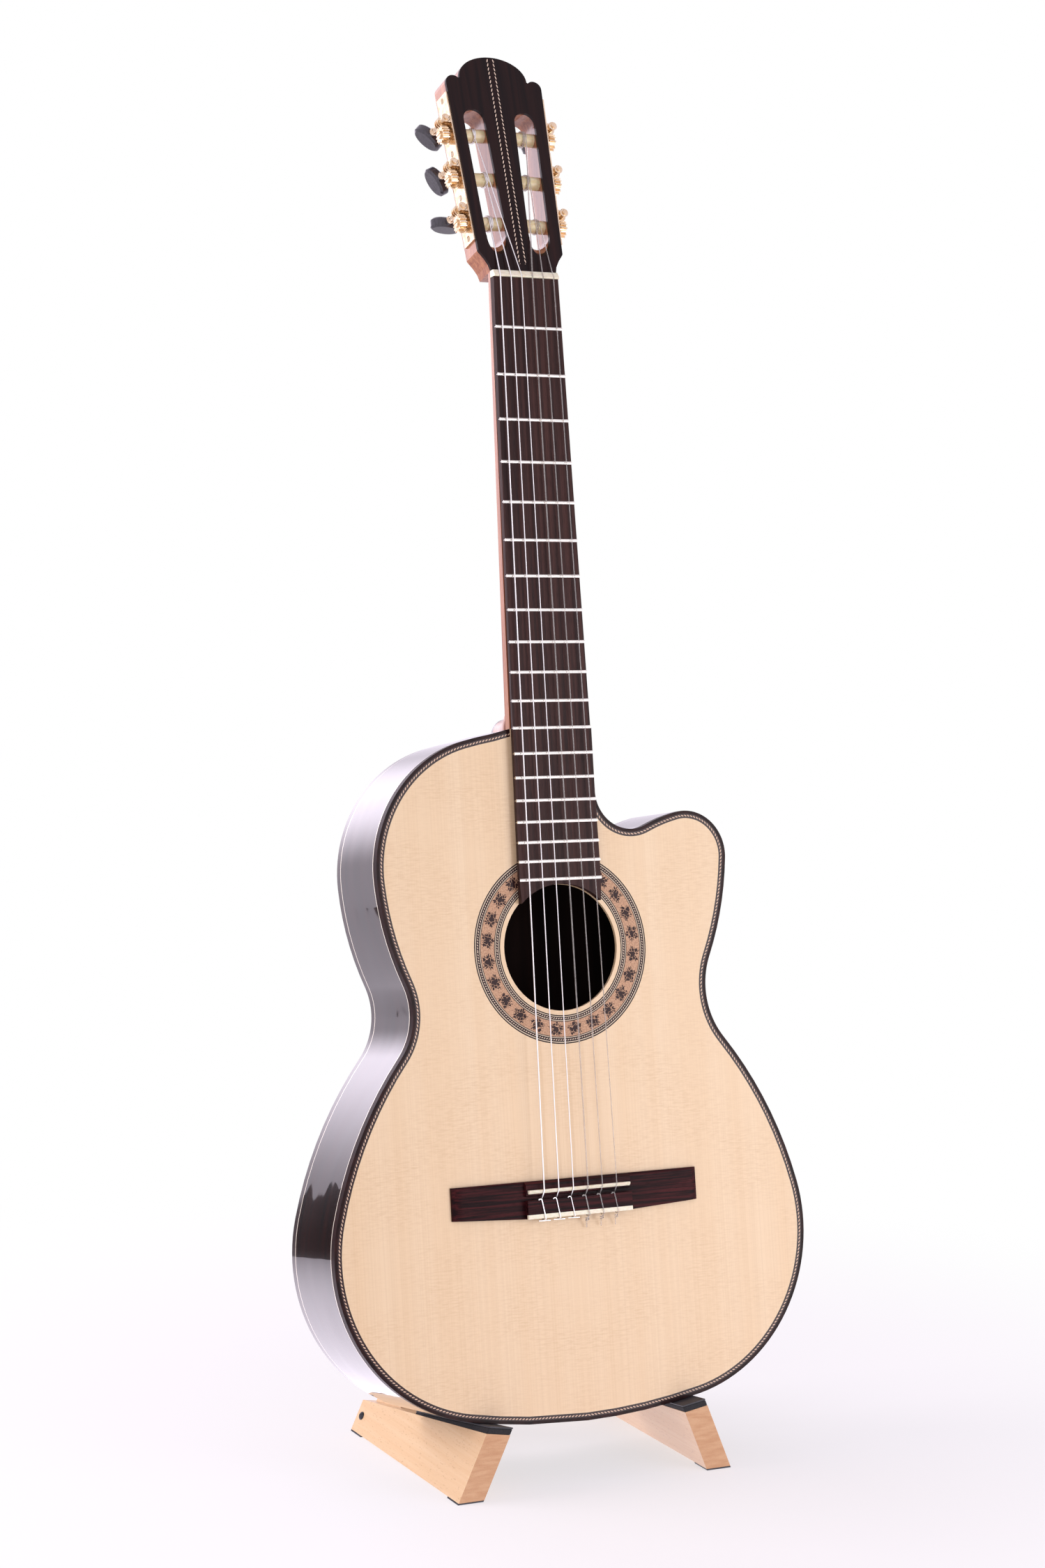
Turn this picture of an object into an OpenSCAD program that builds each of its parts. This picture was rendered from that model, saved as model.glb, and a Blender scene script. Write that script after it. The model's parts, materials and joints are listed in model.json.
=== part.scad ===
// Classical cutaway guitar leaning on a folding wooden A-frame stand.
// Millimetres, +Z up, the guitar faces -Y. The origin is on the floor under the middle of the whole.
// The guitar is drawn in its own frame (X to the treble side, Y up the neck, Z out of the fretboard,
// origin in the middle of the nut's front edge) and is then leaned back onto the stand.

/* [Strings and fretboard] */
// String length from nut to saddle
scale_len = 650; // [630:1:660]
// Width of the fretboard at the nut
nut_w = 52; // [48:0.5:54]
// Width of the fretboard at the twelfth fret
fb_w12 = 62; // [58:0.5:64]
// Thickness of the fretboard
fb_t = 5.5; // [5:0.1:7]
// Number of frets
fret_count = 19; // [17:1:19]
// Width of a fret's crown
fret_w = 2.2; // [1.8:0.1:2.8]
// Height of a fret's crown
fret_h = 1.1; // [0.8:0.1:1.4]
// Length of the nut along the neck
nut_t = 5; // [4:0.5:6]
// Distance between the outer strings at the nut
nut_spread = 43; // [40:0.5:44]
// Distance between the outer strings at the saddle
saddle_spread = 58; // [56:0.5:60]

/* [Body] */
// Length of the body from heel joint to tail
body_len = 490.6; // [470:1:500]
// Depth of the body on its centre line at the tail
tail_depth = 79.5; // [75:0.5:100]
// Depth of the body on its centre line at the heel
heel_depth = 67.5; // [62:0.5:95]
// Thickness of the soundboard
top_t = 2.6; // [2.2:0.1:3.2]
// Thickness of the back
back_t = 2.8; // [2.4:0.1:3.4]
// Thickness of the ribs and width of the bindings
rib_t = 2.3; // [1.8:0.1:2.6]
// Height of the bindings
binding_h = 6; // [4:0.5:8]
// Width of the purfling inside the binding
purfling_w = 3.2; // [2:0.1:4]
// Depth of the purfling and the rosette in the soundboard
inlay_t = 1.4; // [1:0.1:1.8]
// Radius of the soundhole
hole_r = 45; // [42:0.5:47]
// Distance from the heel joint to the middle of the soundhole
hole_dist = 156.7; // [150:0.1:165]
// Inner radius of the rosette
rosette_in_r = 48.2; // [47.5:0.1:52]
// Outer radius of the rosette
rosette_out_r = 68.6; // [60:0.1:72]
// Width of the kerfed linings
lining_w = 5.5; // [4:0.5:7]
// Height of the kerfed linings
lining_h = 14; // [10:1:18]

/* [Neck and head] */
// Thickness of the neck's wood under the fretboard at the nut
neck_t_nut = 15.5; // [14:0.5:17]
// Thickness of the neck's wood under the fretboard at the heel
neck_t_heel = 18.5; // [17:0.5:20]
// Angle of the head behind the fretboard
head_angle = 12; // [10:0.5:15]
// Length of the head from nut to crest
head_len = 171; // [165:1:180]
// Thickness of the head's core
head_core_t = 18; // [16:0.5:20]
// Thickness of the head veneer
veneer_t = 2.5; // [1.5:0.1:3]
// Half width of the head at its lower corners
head_low_half = 34; // [33:0.5:36]
// Angle at which each side of the head widens upward
head_flare = 2.1; // [1:0.1:3]
// Radius of the heel's point at the heel cap
heel_tip_r = 13; // [10:0.5:16]
// Thickness of the heel cap
heel_cap_t = 2.5; // [1.5:0.5:4]

/* [Tuning machines] */
// Distance between neighbouring rollers
roller_pitch = 35; // [35:0.5:36]
// Distance from the nut to the first roller
first_roller = 40; // [38:0.5:44]
// Radius of a roller's sleeve
roller_r = 4.9; // [4.5:0.1:5.2]
// Radius of the axle inside a roller
axle_r = 2; // [1.5:0.1:2.5]
// Thickness of a side plate
plate_t = 1.4; // [1:0.1:2]
// Height of a side plate from front to back
plate_h = 16; // [15:0.5:17]
// Length of a side plate
plate_len = 117; // [110:1:120]
// Number of teeth of a gear
gear_teeth = 15; // [13:1:16]
// Tooth size of worm and gear (pitch diameter over teeth)
gear_module = 0.8; // [0.75:0.01:0.82]
// Thickness of a gear
gear_t = 5; // [3.5:0.5:5.5]
// Pitch radius of a worm
worm_r = 3.4; // [3:0.1:3.6]
// Radius of a worm's shaft
shaft_r = 1.5; // [1.2:0.1:1.7]
// Length of a button's oval
button_len = 22.5; // [18:0.5:24]
// Width of a button's oval
button_wide = 14; // [12:0.5:15]
// Thickness of a button
button_t = 8; // [6:0.5:9]

/* [Bridge] */
// Length of the bridge across the soundboard
bridge_len = 195; // [185:1:200]
// Width of the bridge along the strings
bridge_w = 26; // [24:0.5:30]
// Height of the bridge's wings
wing_h = 3.5; // [3:0.1:4.5]
// Length of the bridge's raised middle
bridge_mid = 83; // [80:0.5:88]
// Height of the tie block
tie_h = 8; // [7:0.1:9]
// Length of the saddle
saddle_len = 80.4; // [76:0.1:82]
// Thickness of the saddle
saddle_t = 2.6; // [2:0.1:3]
// Height of the saddle over the fretboard's plane
saddle_z = 3.4; // [2.8:0.1:4.2]

/* [Stand] */
// Angle at which the guitar leans back
lean = 10; // [8:0.5:12]
// Angle at which each side frame of the stand leans inward
splay = 23.5; // [20:0.5:26]
// Half width of the stand at the floor
stand_half = 108.5; // [100:0.5:116]
// Thickness of the boards
board_t = 18; // [16:0.5:20]
// Length of an arm
arm_len = 185; // [175:1:200]
// Height of an arm at its front
arm_h = 46.5; // [42:0.5:52]
// Slope of an arm's top
arm_slope = 8.5; // [7:0.1:9]
// How far the arms reach in front of the soundboard
arm_reach = 17.5; // [12:0.5:24]
// Thickness of a pad at an arm's front
pad_t = 5.5; // [5:0.1:8]
// Thickness of the rubber sheet on a pad and of the foot strips
sheet_t = 1.2; // [0.8:0.1:1.5]
// Length of a pad
pad_len = 104; // [98:1:120]
// Width of a leg
leg_w = 38; // [32:1:44]
// Height of the top of the legs
leg_top = 208; // [195:1:212]
// Radius of the bolt that joins an arm to its leg
bolt_r = 1.8; // [1.5:0.1:2.2]

/* [Hidden] */

$fn = 96;
big = 1000;
fine = 0.05;

// Clearances: between parts that only pass each other, of a turning fit, and of a thing set down on a pad
pass_gap = 0.3;
turn_gap = 0.08;
seat_gap = 0.3;

// ---- Places along the guitar, in its own frame ----
body_top_y = -scale_len / 2;
tail_y = body_top_y - body_len;
top_z = -fb_t;
function fret_y(n) = -scale_len * (1 - pow(2, -n / 12));
function fb_half(y) = nut_w / 2 + (fb_w12 - nut_w) / 2 * (y / body_top_y);
fb_end_clear = 2;
hole_y = body_top_y - hole_dist;
saddle_y = -scale_len - 2;

// ---- Outline of the body: arcs [radius, sweep] from the tail up; a negative radius bends inward ----
shape_k = body_len / 490.6;
lower_arcs = [[469, 11.3], [118.2, 93], [286, 24.5]];
bass_arcs = concat(lower_arcs, [[-49.4, 62.5], [214.5, 19.5], [94.3, 80.1], [284.6, 10]]);
treble_arcs = concat(lower_arcs, [[-57.9, 62.5], [225.1, 18.7], [32.5, 107.5], [129.2, 12], [-28, 117]]);
tail_arc_r = lower_arcs[0][0] * shape_k;
foot_half = fb_w12 / 2;
arc_step = 3;

// Each step gives [centre, signed radius, heading in, heading out]
function walk(arcs, i = 0, p = [0, 0], h = 0) = i == len(arcs) ? [] :
    let (r = arcs[i][0] * shape_k,
        c = p + r * [-sin(h), cos(h)],
        h2 = h + sign(r) * arcs[i][1],
        q = c + r * [sin(h2), -cos(h2)])
    concat([[c, r, h, h2]], walk(arcs, i + 1, q, h2));
function on_arc(a, h, inset) = a[0] + (a[1] - inset) * [sin(h), -cos(h)];
// Points along one half of the outline, each arc cut into equal steps
function half_points(arcs, inset) = [for (a = walk(arcs))
    let (n = ceil(abs(a[3] - a[2]) / arc_step))
    for (i = [1:n]) on_arc(a, a[2] + (a[3] - a[2]) * i / n, inset)];
function last(v) = v[len(v) - 1];

// The body's outline, moved inward by inset on every side but the heel joint
module body_outline(inset = 0) {
    treble = half_points(treble_arcs, inset);
    bass = [for (p = half_points(bass_arcs, inset)) if (p[0] > foot_half + 6) p];
    shoulder = inset > 0 ? [[foot_half, body_len - inset], [foot_half, body_len]] : [[foot_half, body_len]];
    left = concat(bass, shoulder);
    translate([0, tail_y]) polygon(concat([[0, inset]], treble, [[last(treble)[0], body_len]],
        [for (i = [len(left) - 1:-1:0]) [-left[i][0], left[i][1]]]));
}

// ---- Back of the body: a plane that falls from the heel to the tail ----
back_tilt = atan((tail_depth - heel_depth) / body_len);
deep = 2.5 * tail_depth;
past = 60;
module above_back(up) {
    translate([0, tail_y, top_z - tail_depth + up])
        rotate([back_tilt, 0, 0])
            translate([-big / 2, -past, 0]) cube([big, body_len + 2 * past, deep]);
}

// A prism of the outline from z0 upward to z1, ended by the plane of the back moved up by up
module body_prism(inset, z1, up) {
    intersection() {
        translate([0, 0, z1 - deep]) linear_extrude(deep) body_outline(inset);
        above_back(up);
    }
}
module ring_prism(outer, inner, z1, up) {
    intersection() {
        translate([0, 0, z1 - deep]) linear_extrude(deep) difference() {
            body_outline(outer);
            body_outline(inner);
        }
        above_back(up);
    }
}

// ---- Frames ----
// The guitar rests with its tail on the pads; both sides touch where the tail's arc meets the arms' middle
arm_w = board_t / cos(splay);
rest_x = stand_half - arm_w / 2 - arm_h * tan(splay);
rest_tilt = asin(rest_x / tail_arc_r);
rest_y = tail_y + tail_arc_r * (1 - cos(rest_tilt));
head_back = [nut_t + head_len * cos(head_angle) - (head_core_t + veneer_t) * sin(head_angle),
    -head_len * sin(head_angle) - (head_core_t + veneer_t) * cos(head_angle)];
head_drop = -2.7;
nut_ahead = arm_reach - rest_y * sin(lean) + top_z * cos(lean);
depth_all = nut_ahead + head_back[0] * sin(lean) - (head_back[1] + head_drop) * cos(lean);
front_y = -depth_all / 2;
nut_high = arm_h + pad_t - arm_reach * tan(lean) + seat_gap - rest_y * cos(lean) - top_z * sin(lean);

module guitar_frame() {
    translate([0, front_y + nut_ahead, nut_high]) rotate([90 - lean, 0, 0]) children();
}
module head_frame() {
    translate([0, nut_t, head_drop]) rotate([-head_angle, 0, 0]) children();
}
head_side_0 = head_low_half - 15.5 * tan(head_flare);
// Frame of one row of machines: X out of the head's side, Y up along it, Z out of the head's face
module tuner_frame(side) {
    mirror([side < 0 ? 1 : 0, 0, 0])
        head_frame() translate([head_side_0, 0, 0]) rotate([0, 0, -head_flare]) children();
}
// ---- Strings: radius, side, row of roller, place along the roller ----
string_r = [0.55, 0.46, 0.4, 0.52, 0.42, 0.36];
string_row = [0, 1, 2, 2, 1, 0];
string_leave = [19.6, 17.5, 21.6, 21.8, 19, 21];
function string_side(i) = i < 3 ? -1 : 1;
function nut_x(i) = (i / 5 - 0.5) * nut_spread;
function saddle_x(i) = (i / 5 - 0.5) * saddle_spread;
string_lift = 1.3;
function nut_string_z(i) = string_lift + string_r[i];
function roller_y(k) = first_roller + k * roller_pitch;
roller_z = -9;
slot_in = 17.2;
slot_w = 17;
slot_low = 29;
slot_high = 118.8;
bear_in = 5;
// The ramp at a slot's lower end: where its axis meets the head's face, its tilt, and its inset at each side
ramp_y = 25.3;
ramp_tilt = 50;
ramp_in = 0.3;
thread_out_r = worm_r + 0.8 * gear_module;
worm_x = plate_t + pass_gap + thread_out_r;
gear_r = gear_module * gear_teeth / 2;
gear_outer_r = gear_r + 0.9 * gear_module;
axis_gap = gear_r + worm_r;

// Points of the tuner frame and of the head frame in the guitar's frame
function from_head(p) = [p[0],
    nut_t + p[1] * cos(head_angle) + p[2] * sin(head_angle),
    head_drop - p[1] * sin(head_angle) + p[2] * cos(head_angle)];
function from_tuner(side, p) = from_head([
    side * (head_side_0 + p[0] * cos(head_flare) + p[1] * sin(head_flare)),
    p[1] * cos(head_flare) - p[0] * sin(head_flare), p[2]]);

// ---- A tube swept along points; its sides keep square to X ----
tube_sides = 8;
function unit(v) = v / norm(v);
function tube_ring(pts, i, r) =
    let (t = unit(pts[min(i + 1, len(pts) - 1)] - pts[max(i - 1, 0)]),
        a = unit(cross(t, [1, 0, 0])),
        b = cross(t, a))
    [for (k = [0:tube_sides - 1]) pts[i] + r * (cos(k * 360 / tube_sides) * a + sin(k * 360 / tube_sides) * b)];
module tube(pts, r) {
    n = len(pts);
    polyhedron(
        points = [for (i = [0:n - 1]) each tube_ring(pts, i, r)],
        faces = concat(
            [[for (k = [tube_sides - 1:-1:0]) k]],
            [for (i = [0:n - 2], k = [0:tube_sides - 1])
                let (a = i * tube_sides, k2 = (k + 1) % tube_sides)
                [a + k, a + k2, a + tube_sides + k2, a + tube_sides + k]],
            [[for (k = [0:tube_sides - 1]) (n - 1) * tube_sides + k]]));
}

// ---- Guitar body ----
module soundboard() color("#ecd6ae") guitar_frame() difference() {
    translate([0, 0, top_z - top_t]) linear_extrude(top_t) body_outline(rib_t);
    translate([0, hole_y, top_z - top_t - 1]) cylinder(r = hole_r, h = top_t + 2);
    translate([0, hole_y, top_z - inlay_t]) difference() {
        cylinder(r = rosette_out_r, h = inlay_t + 1);
        translate([0, 0, -1]) cylinder(r = rosette_in_r, h = inlay_t + 3);
    }
    translate([0, 0, top_z - inlay_t]) linear_extrude(inlay_t + 1) difference() {
        body_outline(rib_t - 1);
        body_outline(rib_t + purfling_w);
    }
}

// The fretboard covers the top of the rosette, so the ring is cut away under it
module rosette() color("#a97b4f") guitar_frame() translate([0, hole_y, top_z - inlay_t]) difference() {
    cylinder(r = rosette_out_r, h = inlay_t);
    translate([0, 0, -1]) cylinder(r = rosette_in_r, h = inlay_t + 2);
}

module back_plate() color("#4a241c") guitar_frame() difference() {
    body_prism(rib_t, top_z - heel_depth / 2, 0);
    above_back(back_t);
}

module rib(side) guitar_frame() intersection() {
    ring_prism(0, rib_t, top_z - binding_h, binding_h);
    translate([side > 0 ? 0 : -big / 2, tail_y - 1, -deep]) cube([big / 2, body_len + 2, 2 * deep]);
}
module side_bass() color("#43201a") rib(-1);
module side_treble() color("#43201a") rib(1);

block_w = 70;
block_t = 15;
foot_len = 32;
// The neck's foot inside the body
module foot_area(grow = 0) {
    translate([-fb_w12 / 2 - grow, body_top_y - foot_len - grow]) square([fb_w12 + 20 + grow, foot_len + grow]);
}
module linings() color("#d9b98a") guitar_frame() difference() {
    intersection() {
        translate([0, 0, top_z - deep]) linear_extrude(deep - top_t) body_outline(rib_t);
        above_back(back_t);
        union() {
            difference() {
                translate([-big / 2, tail_y, -deep]) cube([big, body_len, 2 * deep]);
                translate([0, 0, -2 * deep]) linear_extrude(4 * deep) {
                    body_outline(rib_t + lining_w);
                    foot_area(pass_gap);
                }
                intersection() {
                    above_back(back_t + lining_h);
                    translate([-big / 2, tail_y - 1, -deep]) cube([big, big, deep + top_z - top_t - lining_h]);
                }
            }
            translate([-block_w / 2, tail_y, -deep]) cube([block_w, rib_t + block_t, 2 * deep]);
        }
    }
}

// Braces: cross bars, fan bars, and the places of the back's bars as shares of the body's length
bar_w = 6;
bar_h = 13;
bar_off = 12;
fan_w = 5;
fan_h = 4;
fan_len = 190;
fan_step = 17;
fan_turn = 7;
back_brace_at = [0.22, 0.48, 0.83];
module braces() color("#e3c895") guitar_frame() {
    low = top_z - top_t;
    // Two bars across the soundboard, above and below the soundhole
    for (y = [hole_y + rosette_out_r + bar_off, hole_y - rosette_out_r - bar_off])
        intersection() {
            translate([-big / 2, y - bar_w / 2, low - bar_h]) cube([big, bar_w, bar_h]);
            translate([0, 0, -deep]) linear_extrude(2 * deep) body_outline(rib_t + lining_w);
        }
    // Five fan bars that spread towards the tail
    for (i = [-2:2])
        translate([i * fan_step, hole_y - rosette_out_r - bar_off - bar_w / 2, low - fan_h])
            rotate([0, 0, i * fan_turn]) translate([-fan_w / 2, -fan_len, 0]) cube([fan_w, fan_len, fan_h]);
    // Three bars across the back
    for (share = back_brace_at)
        let (y = tail_y + body_len * share) intersection() {
            translate([-big / 2, y - bar_w / 2, -deep]) cube([big, bar_w, deep]);
            translate([0, 0, -deep]) linear_extrude(2 * deep) body_outline(rib_t + lining_w);
            difference() {
                above_back(back_t);
                above_back(back_t + bar_h);
            }
        }
}

module bindings() color("#3b1f1c") guitar_frame() {
    translate([0, 0, top_z - binding_h]) linear_extrude(binding_h) difference() {
        body_outline(0);
        body_outline(rib_t);
    }
    difference() {
        ring_prism(0, rib_t, top_z - heel_depth / 2, 0);
        above_back(binding_h);
    }
}

module purfling() color("#7a4a35") guitar_frame()
    translate([0, 0, top_z - inlay_t]) linear_extrude(inlay_t) difference() {
        body_outline(rib_t);
        body_outline(rib_t + purfling_w);
    }

// ---- Neck, head and fretboard ----
module fb_outline(y_end) {
    polygon([[-fb_half(0), 0], [fb_half(0), 0], [fb_half(y_end), y_end], [-fb_half(y_end), y_end]]);
}

// The head's outline: half of it, from the nut's corner to the crest
ear_r = 6.2;
head_max_y = 148;
ear_x = head_side_0 + head_max_y * tan(head_flare) - ear_r;
crest_half = 27.4;
crest_y = 153;
head_half = concat(
    [[nut_w / 2, 0], [nut_w / 2 + 1.2, 5], [nut_w / 2 + 4, 10]],
    [[head_low_half - 0.5, 14.6], [head_low_half, 15.6], [ear_x + ear_r, head_max_y]],
    [for (a = [15:15:135]) [ear_x + ear_r * cos(a), head_max_y + ear_r * sin(a)]],
    [for (a = [0:7.5:82.5]) [crest_half * cos(a), crest_y + (head_len - crest_y) * sin(a)]]);
module head_outline() {
    polygon(concat(head_half, [[0, head_len]],
        [for (i = [len(head_half) - 1:-1:0]) [-head_half[i][0], head_half[i][1]]]));
}

// Two slots; their lower ends ramp up to the face
module head_slots() {
    depth = head_core_t + veneer_t;
    for (side = [-1, 1]) mirror([side < 0 ? 1 : 0, 0, 0])
        translate([head_side_0, 0, 0]) rotate([0, 0, -head_flare]) translate([-slot_in, 0, 0]) {
            translate([0, 0, -depth - 1]) linear_extrude(depth + 2) {
                translate([0, slot_high]) circle(d = slot_w);
                translate([0, slot_low]) circle(d = slot_w);
                translate([-slot_w / 2, slot_low]) square([slot_w, slot_high - slot_low]);
            }
            translate([0, ramp_y, 0]) rotate([ramp_tilt, 0, 0])
                translate([0, 0, -depth]) cylinder(d = slot_w - 2 * ramp_in, h = 2 * depth);
        }
}

// The round back of the neck is a cone whose axis rises towards the head
neck_r_nut = 33;
neck_r_heel = 38;
module neck_cone() {
    y_a = 30;
    y_b = body_top_y - 10;
    slope_r = (neck_r_heel - neck_r_nut) / body_top_y;
    function r_at(y) = neck_r_nut + slope_r * y;
    function t_at(y) = neck_t_nut + (neck_t_heel - neck_t_nut) * y / body_top_y;
    z_a = top_z - t_at(y_a) + r_at(y_a);
    z_b = top_z - t_at(y_b) + r_at(y_b);
    tip = atan((z_b - z_a) / (y_a - y_b));
    translate([0, y_a, z_a]) rotate([90 + tip, 0, 0])
        cylinder(r1 = r_at(y_a), r2 = r_at(y_b), h = norm([y_a - y_b, z_a - z_b]), $fn = 180);
}

heel_sweep_r = 90;
heel_z = top_z - heel_depth + heel_cap_t;
module heel_half() {
    intersection() {
        translate([0, body_top_y, 0]) rotate_extrude($fn = 180) difference() {
            translate([0, heel_z]) square([fb_w12 / 2 - 0.5, -heel_z + top_z - neck_t_heel / 2]);
            translate([heel_tip_r + heel_sweep_r, heel_z]) circle(r = heel_sweep_r, $fn = 360);
        }
        translate([-50, body_top_y, heel_z]) cube([100, 60, heel_depth]);
    }
}
module neck() color("#a9643f") guitar_frame() difference() {
    union() {
        intersection() {
            translate([0, 0, -100]) linear_extrude(100 + top_z) intersection() {
                fb_outline(body_top_y);
                translate([-50, body_top_y]) square([100, scale_len]);
            }
            neck_cone();
        }
        heel_half();
        // Foot inside the body, under the soundboard
        intersection() {
            translate([0, 0, -deep]) linear_extrude(deep + top_z - top_t) intersection() {
                body_outline(rib_t);
                foot_area();
            }
            above_back(back_t);
        }
        // Under the nut
        intersection() {
            translate([-nut_w / 2, -0.01, -100]) cube([nut_w, nut_t + 8, 100 + top_z]);
            neck_cone();
            head_frame() translate([-50, -50, -60]) cube([100, 100, 60 - veneer_t]);
        }
        difference() {
            head_frame() translate([0, 0, -veneer_t - head_core_t]) linear_extrude(head_core_t) head_outline();
            // The nut stands square on the neck
            translate([-50, -10, top_z]) cube([100, 10 + nut_t, 50]);
        }
    }
    head_frame() head_slots();
    for (side = [-1, 1], k = [0:2]) tuner_frame(side)
        translate([-slot_in - slot_w / 2 - bear_in, roller_y(k), roller_z]) rotate([0, 90, 0])
            cylinder(r = roller_r + turn_gap, h = 60);
}

module heel_cap() color("#3b1f1c") guitar_frame()
    translate([0, body_top_y, heel_z - heel_cap_t]) intersection() {
        cylinder(r = heel_tip_r, h = heel_cap_t);
        translate([-50, 0, -1]) cube([100, 50, 10]);
    }

inlay_w = 1.8;
inlay_x = 2.7;
inlay_d = 0.8;
module inlay_strips(grow) {
    for (side = [-1, 1])
        translate([side * inlay_x - inlay_w / 2, 6, -inlay_d])
            cube([inlay_w, head_len - 6.8, inlay_d + grow]);
}
module head_veneer() color("#2c1b19") guitar_frame() difference() {
    head_frame() difference() {
        translate([0, 0, -veneer_t]) linear_extrude(veneer_t) head_outline();
        head_slots();
        inlay_strips(1);
    }
    translate([-50, -20, -50]) cube([100, 20 + nut_t, 100]);
}
module head_inlay() color("#e8d3b0") guitar_frame() head_frame() inlay_strips(0);

// The free end of the fretboard follows the soundhole's edge
fb_end_y = fret_y(fret_count) - 19;
fret_slot_w = 0.6;
fret_slot_d = 1.8;
module fretboard() color("#2e2525") guitar_frame() difference() {
    translate([0, 0, top_z]) linear_extrude(fb_t) fb_outline(fb_end_y);
    translate([0, hole_y, top_z - 1]) cylinder(r = hole_r + fb_end_clear, h = fb_t + 2);
    for (n = [1:fret_count])
        translate([-50, fret_y(n) - fret_slot_w / 2, -fret_slot_d]) cube([100, fret_slot_w, 5]);
}

module frets() color("#cfcfd2") guitar_frame() difference() {
    for (n = [1:fret_count])
        intersection() {
            translate([0, fret_y(n), 0]) union() {
                intersection() {
                    translate([-50, 0, fret_h - fret_w / 2 - 0.25]) rotate([0, 90, 0])
                        cylinder(r = fret_w / 2 + 0.25, h = 100, $fn = 48);
                    translate([-50, -fret_w / 2, 0]) cube([100, fret_w, 5]);
                }
                translate([-50, -fret_slot_w / 2, -fret_slot_d]) cube([100, fret_slot_w, fret_slot_d + 0.5]);
            }
            translate([0, 0, -5]) linear_extrude(10) fb_outline(fb_end_y);
        }
    translate([0, hole_y, top_z - 1]) cylinder(r = hole_r + fb_end_clear, h = fb_t + 9);
}

nut_top = string_lift + 0.9;
nut_fall = 2.7;
nut_rest = 1.2;
string_fall = 22;
module nut() color("#f4ecd8") guitar_frame() difference() {
    // Its top falls towards the head
    translate([-nut_w / 2, 0, 0]) rotate([90, 0, 90]) linear_extrude(nut_w) polygon([[0, top_z], [nut_t, top_z],
        [nut_t, nut_top - nut_fall], [nut_rest, nut_top - 0.2], [0.5, nut_top], [0, nut_top - 0.4]]);
    // Each slot is level up to the string's rest and then falls with the string
    for (i = [0:5])
        translate([nut_x(i) - string_r[i] - fine, 0, 0]) rotate([90, 0, 90])
            linear_extrude(2 * (string_r[i] + fine)) polygon([[-1, string_lift - fine],
                [nut_rest, string_lift - fine], [nut_t + 1, string_lift - (nut_t + 1 - nut_rest) * tan(string_fall)],
                [nut_t + 1, 10], [-1, 10]]);
}

// ---- Bridge ----
bridge_front = -scale_len + 5.2;
bridge_rear = bridge_front - bridge_w;
tie_front = bridge_rear + 13;
bone_w = 3;
bone_h = 2;
string_bore_r = 0.8;
bore_z = top_z + 4.6;
tie_z = top_z + tie_h;
wing_taper = 3;
wing_round = 9;
wing_edge = 1.2;
function wing_end(side, a) = [side * (bridge_len / 2 - wing_round + wing_round * sin(a)),
    top_z + wing_edge + (wing_h - wing_edge) * cos(a)];
module bridge() color("#4d2420") guitar_frame() difference() {
    union() {
        // Wings: eased at the front, narrower towards their ends, and rounded down at the ends
        intersection() {
            translate([-bridge_len / 2, 0, 0]) rotate([90, 0, 90]) linear_extrude(bridge_len) polygon([
                [bridge_rear, top_z], [bridge_front, top_z], [bridge_front, top_z + wing_h - 1.2],
                [bridge_front - 1.5, top_z + wing_h], [bridge_rear, top_z + wing_h]]);
            translate([0, 0, top_z - 1]) linear_extrude(wing_h + 2) polygon([
                [-bridge_len / 2, bridge_front + 1], [bridge_len / 2, bridge_front + 1],
                [bridge_len / 2, bridge_rear + wing_taper], [bridge_mid / 2, bridge_rear],
                [-bridge_mid / 2, bridge_rear], [-bridge_len / 2, bridge_rear + wing_taper]]);
            rotate([90, 0, 0]) translate([0, 0, -bridge_front - 1]) linear_extrude(bridge_w + 2)
                polygon(concat([for (a = [90:-15:0]) wing_end(1, a)], [for (a = [0:15:90]) wing_end(-1, a)],
                    [[-bridge_len / 2, top_z], [bridge_len / 2, top_z]]));
        }
        // Saddle ramp, channel and tie block
        translate([-bridge_mid / 2, 0, 0]) rotate([90, 0, 90]) linear_extrude(bridge_mid) polygon([
            [bridge_rear, top_z], [bridge_front, top_z], [bridge_front, top_z + wing_h],
            [bridge_front - 2, top_z + 6], [saddle_y - saddle_t / 2 - 1.2, top_z + 6],
            [tie_front + 2.6, top_z + wing_h], [tie_front, top_z + wing_h], [tie_front, tie_z],
            [bridge_rear + 0.5, tie_z], [bridge_rear, tie_z - 0.5]]);
    }
    translate([-saddle_len / 2, saddle_y - saddle_t / 2, top_z + 2]) cube([saddle_len, saddle_t, 20]);
    translate([-bridge_mid / 2 - 1, bridge_rear - 1, tie_z - bone_h]) cube([bridge_mid + 2, bone_w + 1, 10]);
    for (i = [0:5])
        translate([saddle_x(i), bridge_rear - 1, bore_z]) rotate([-90, 0, 0])
            cylinder(r = string_bore_r, h = bridge_w / 2 + 2, $fn = 24);
}
saddle_crown = [0.3, 0.7];
saddle_fall = 1.5;
// The saddle's crown is near its front, and its top falls to the tie block
module saddle() color("#f6efdc") guitar_frame()
    translate([-saddle_len / 2, saddle_y, 0]) rotate([90, 0, 90]) linear_extrude(saddle_len) polygon([
        [-saddle_t / 2, top_z + 2], [saddle_t / 2, top_z + 2], [saddle_t / 2, saddle_z - 0.5],
        [saddle_crown[1], saddle_z], [saddle_crown[0], saddle_z], [-saddle_t / 2, saddle_z - saddle_fall]]);
module tie_bone() color("#d9d5c9") guitar_frame()
    translate([-bridge_mid / 2, bridge_rear, tie_z - bone_h]) cube([bridge_mid, bone_w, bone_h]);

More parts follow.
